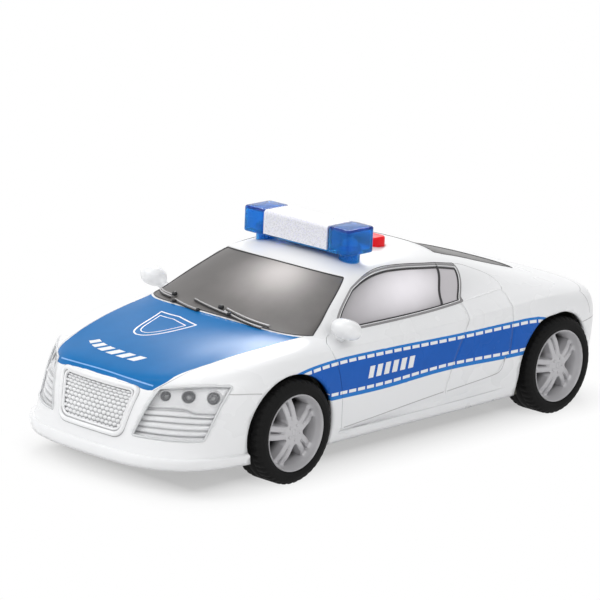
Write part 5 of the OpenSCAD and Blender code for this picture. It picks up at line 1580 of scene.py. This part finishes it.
def finish_solids():
    """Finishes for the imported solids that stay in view."""
    c, _, _ = settings()
    steel = moulded("screw_steel", (0.46, 0.46, 0.47), 0.32, tone=0.1, metal=0.9, bump=0.12)
    nodes = {
        moulded("chassis_black", c.chassis, 0.55, tone=0.15, grain=1100.0, bump=0.15): ["chassis", "battery_door"],
        steel: ["battery_screw", "front_axle", "rear_axle", "gearbox_screw_left", "gearbox_screw_right",
                "body_screw_front_left", "body_screw_front_right", "body_screw_rear_left", "body_screw_rear_right"],
        moulded("gear_nylon", (0.72, 0.7, 0.64), 0.42, bump=0.08): ["axle_gear", "middle_gear"],
        moulded("gearbox_grey", (0.2, 0.2, 0.205), 0.5, bump=0.12): ["gearbox_base", "gearbox_cover"],
        moulded("flywheel_steel", (0.42, 0.42, 0.43), 0.3, metal=0.95, bump=0.1): ["flywheel"],
        moulded("cell_steel", (0.56, 0.57, 0.58), 0.25, tone=0.06, metal=0.95): ["cell_left", "cell_middle",
                                                                                "cell_right"],
        moulded("contact_brass", (0.58, 0.4, 0.13), 0.3, metal=0.95, bump=0.06): ["battery_contact"],
        moulded("speaker_grey", (0.1, 0.1, 0.105), 0.6, tone=0.2, bump=0.2): ["speaker"],
        board_finish("board_green", (0.02, 0.13, 0.04)): ["circuit_board"],
        moulded("dome_rubber", (0.55, 0.55, 0.56), 0.5, bump=0.08): ["switch_dome"],
        clear_plastic("led_clear", (0.75, 0.85, 0.95), 0.55, 0.08): ["led_left", "led_right"],
    }
    for finish, names in nodes.items():
        for name in names:
            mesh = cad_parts[name].data
            mesh.materials.clear()
            mesh.materials.append(finish)


# ---------------------------------------------------------------------------------------------
# Stage
# ---------------------------------------------------------------------------------------------

def seen(tree):
    """1 for rays from the camera, reflections and see-through surfaces."""
    path = tree.nodes.new("ShaderNodeLightPath")
    some = calc(tree, "MAXIMUM", path.outputs["Is Camera Ray"], path.outputs["Is Glossy Ray"])
    return calc(tree, "MAXIMUM", some, path.outputs["Is Transmission Ray"])


def floor_paper(colour):
    """Paper that turns white away from the car: a white glow takes its place by the distance from a rectangle
    under the car, for the rays that see it."""
    finish = bpy.data.materials.new("floor_paper")
    finish.use_nodes = True
    tree = finish.node_tree
    tree.nodes.clear()
    out = tree.nodes.new("ShaderNodeOutputMaterial")
    paper = tree.nodes.new("ShaderNodeBsdfDiffuse")
    place = object_place(tree)
    feed(tree, paper.inputs["Color"], tint(tree, noise(tree, 300.0, 2.0, place), shade(colour, 0.99), colour))
    glow = tree.nodes.new("ShaderNodeEmission")
    glow.inputs["Color"].default_value = (1, 1, 1, 1)
    split = tree.nodes.new("ShaderNodeSeparateXYZ")
    feed(tree, split.inputs[0], place)
    half_wide, half_long, reach, least_glow = 0.03, 0.09, 0.026, 0.45
    squares = []
    for axis, half in (("X", half_wide), ("Y", half_long)):
        past = calc(tree, "SUBTRACT", calc(tree, "ABSOLUTE", split.outputs[axis]), half)
        past = calc(tree, "MAXIMUM", past, 0.0)
        squares.append(calc(tree, "MULTIPLY", past, past))
    away = calc(tree, "SQRT", calc(tree, "ADD", *squares))
    far = calc(tree, "POWER", spread(tree, away, 0.0, reach), 0.8)
    fade = calc(tree, "MULTIPLY", spread(tree, far, 0.0, 1.0, least_glow, 1.0), seen(tree))
    mix = tree.nodes.new("ShaderNodeMixShader")
    feed(tree, mix.inputs[0], fade)
    tree.links.new(paper.outputs[0], mix.inputs[1])
    tree.links.new(glow.outputs[0], mix.inputs[2])
    tree.links.new(mix.outputs[0], out.inputs["Surface"])
    return finish


def make_floor(finish):
    """Flat square grid under the car."""
    half, count = 3, 25
    x = np.linspace(-half, half, count)
    grid_x, grid_y = np.meshgrid(x, x)
    mesh = bpy.data.meshes.new("floor")
    mesh.from_pydata(np.stack([grid_x, grid_y, 0 * grid_x], -1).reshape(-1, 3).tolist(), [],
                     grid_faces(count, count).tolist())
    mesh.materials.append(finish)
    floor = bpy.data.objects.new("floor", mesh)
    bpy.context.scene.collection.objects.link(floor)


def make_world():
    """White surroundings, greyer overhead, for the rays that see them; an even soft light for the rest."""
    light, overhead = 0.45, 0.45
    world = bpy.data.worlds.new("studio")
    bpy.context.scene.world = world
    world.use_nodes = True
    tree = world.node_tree
    tree.nodes.clear()
    out = tree.nodes.new("ShaderNodeOutputWorld")
    back = tree.nodes.new("ShaderNodeBackground")
    back.inputs["Color"].default_value = (1, 1, 1, 1)
    way = tree.nodes.new("ShaderNodeSeparateXYZ")
    feed(tree, way.inputs[0], tree.nodes.new("ShaderNodeTexCoord").outputs["Generated"])
    ceiling = spread(tree, way.outputs["Z"], 0.3, 0.8, 1.0, overhead)
    feed(tree, back.inputs["Strength"], spread(tree, seen(tree), 0.0, 1.0, light, ceiling))
    tree.links.new(back.outputs[0], out.inputs["Surface"])


def add_lamp(name, place, side, power):
    """Square soft lamp aimed at the car's middle."""
    data = bpy.data.lights.new(name, "AREA")
    data.shape, data.size, data.size_y = "RECTANGLE", side, side
    data.energy = power
    lamp = bpy.data.objects.new(name, data)
    bpy.context.scene.collection.objects.link(lamp)
    lamp.location = place
    lamp.rotation_euler = (Vector((0, 0, 0.03)) - Vector(place)).to_track_quat("-Z", "Y").to_euler()


def make_camera():
    """Camera at a distance from its aim, turned about the car, tilted and rolled."""
    azimuth, elevation, roll = math.radians(42.71), math.radians(14.20), math.radians(2.62)
    aim, distance = np.array([-8.43, -2.79, 40.60]), 1195.5
    back = np.array([math.sin(azimuth) * math.cos(elevation), -math.cos(azimuth) * math.cos(elevation),
                     math.sin(elevation)])
    level = unit(np.cross([0, 0, 1], back))
    upright = np.cross(back, level)
    right = level * math.cos(roll) + upright * math.sin(roll)
    up = -level * math.sin(roll) + upright * math.cos(roll)
    data = bpy.data.cameras.new("camera")
    data.sensor_width, data.lens = 36.0, 212.1
    data.clip_start, data.clip_end = 0.05, 20.0
    camera = bpy.data.objects.new("camera", data)
    bpy.context.scene.collection.objects.link(camera)
    turned = np.stack([right, up, back], 1)
    place = (aim + back * distance) * MM
    camera.matrix_world = Matrix([[*row, p] for row, p in zip(turned, place)] + [[0, 0, 0, 1]])
    bpy.context.scene.camera = camera


def make_stage():
    """Pale floor that keeps the shadow and turns white away from the car, soft lamps and the camera."""
    c, _, _ = settings()
    bpy.context.scene.view_settings.view_transform = "Standard"
    make_floor(floor_paper(c.floor))
    make_world()
    add_lamp("key", (-0.5, -0.75, 0.8), 0.7, 6.6)
    add_lamp("fill", (1.05, -0.42, 0.85), 0.8, 6.2)
    add_lamp("top", (-0.3, 0.05, 1.1), 0.6, 2.0)
    add_lamp("back", (-0.64, 0.73, 0.75), 0.35, 5.0)
    make_camera()


# ---------------------------------------------------------------------------------------------
# Operators and panel
# ---------------------------------------------------------------------------------------------

class CAR_OT_stage(bpy.types.Operator):
    """Set up the floor, lamps and camera"""

    bl_idname = "toy_car.stage"
    bl_label = "Stage"

    def execute(self, context):
        make_stage()
        return {"FINISHED"}


class CAR_OT_body(bpy.types.Operator):
    """Build the body skin with its openings, panel lines and prints"""

    bl_idname = "toy_car.body"
    bl_label = "Body"

    def execute(self, context):
        make_body()
        return {"FINISHED"}


class CAR_OT_glass(bpy.types.Operator):
    """Build the windows and their seals"""

    bl_idname = "toy_car.glass"
    bl_label = "Windows"

    def execute(self, context):
        make_glass()
        return {"FINISHED"}


class CAR_OT_lamps(bpy.types.Operator):
    """Build the headlights, grille and tail lights"""

    bl_idname = "toy_car.lamps"
    bl_label = "Lamps and grille"

    def execute(self, context):
        make_headlights()
        make_grille()
        make_tail()
        return {"FINISHED"}


class CAR_OT_fittings(bpy.types.Operator):
    """Build the door mirrors and wipers"""

    bl_idname = "toy_car.fittings"
    bl_label = "Mirrors and wipers"

    def execute(self, context):
        make_mirrors()
        make_wipers()
        return {"FINISHED"}


class CAR_OT_roof(bpy.types.Operator):
    """Build the light bar and the push button"""

    bl_idname = "toy_car.roof"
    bl_label = "Light bar and button"

    def execute(self, context):
        make_light_bar()
        make_button()
        return {"FINISHED"}


class CAR_OT_wheels(bpy.types.Operator):
    """Build the tyres and rims"""

    bl_idname = "toy_car.wheels"
    bl_label = "Wheels"

    def execute(self, context):
        make_wheels()
        return {"FINISHED"}


class CAR_OT_prints(bpy.types.Operator):
    """Build the white prints on the bonnet and doors, and the fine panel lines"""

    bl_idname = "toy_car.prints"
    bl_label = "Prints and seams"

    def execute(self, context):
        make_prints()
        make_seams()
        return {"FINISHED"}


class CAR_OT_solids(bpy.types.Operator):
    """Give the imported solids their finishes"""

    bl_idname = "toy_car.solids"
    bl_label = "Inner parts"

    def execute(self, context):
        finish_solids()
        return {"FINISHED"}


class VIEW3D_PT_toy_car(bpy.types.Panel):
    """Settings and builders of the toy police car"""

    bl_label = "Police car"
    bl_space_type = "VIEW_3D"
    bl_region_type = "UI"
    bl_category = "Police car"

    def draw(self, context):
        for group in (context.scene.car_colours, context.scene.car_sizes, context.scene.car_counts):
            box = self.layout.box()
            for key in group.__annotations__:
                box.prop(group, key)
        for operator in OPERATORS:
            self.layout.operator(operator.bl_idname)


GROUPS = {"car_colours": CarColours, "car_sizes": CarSizes, "car_counts": CarCounts}
OPERATORS = (CAR_OT_stage, CAR_OT_body, CAR_OT_glass, CAR_OT_lamps, CAR_OT_fittings, CAR_OT_roof, CAR_OT_wheels,
             CAR_OT_prints, CAR_OT_solids)
CLASSES = (*GROUPS.values(), *OPERATORS, VIEW3D_PT_toy_car)


def register():
    """Adds the classes and the scene's settings."""
    for cls in CLASSES:
        bpy.utils.register_class(cls)
    for key, group in GROUPS.items():
        setattr(bpy.types.Scene, key, PointerProperty(type=group))


def unregister():
    """Removes the scene's settings and the classes."""
    for key in GROUPS:
        delattr(bpy.types.Scene, key)
    for cls in reversed(CLASSES):
        bpy.utils.unregister_class(cls)


def main():
    """Builds the whole car."""
    register()
    bpy.ops.toy_car.stage()
    bpy.ops.toy_car.body()
    bpy.ops.toy_car.glass()
    bpy.ops.toy_car.lamps()
    bpy.ops.toy_car.fittings()
    bpy.ops.toy_car.roof()
    bpy.ops.toy_car.wheels()
    bpy.ops.toy_car.prints()
    bpy.ops.toy_car.solids()
    bpy.context.view_layer.update()


if __name__ == "__main__":
    main()
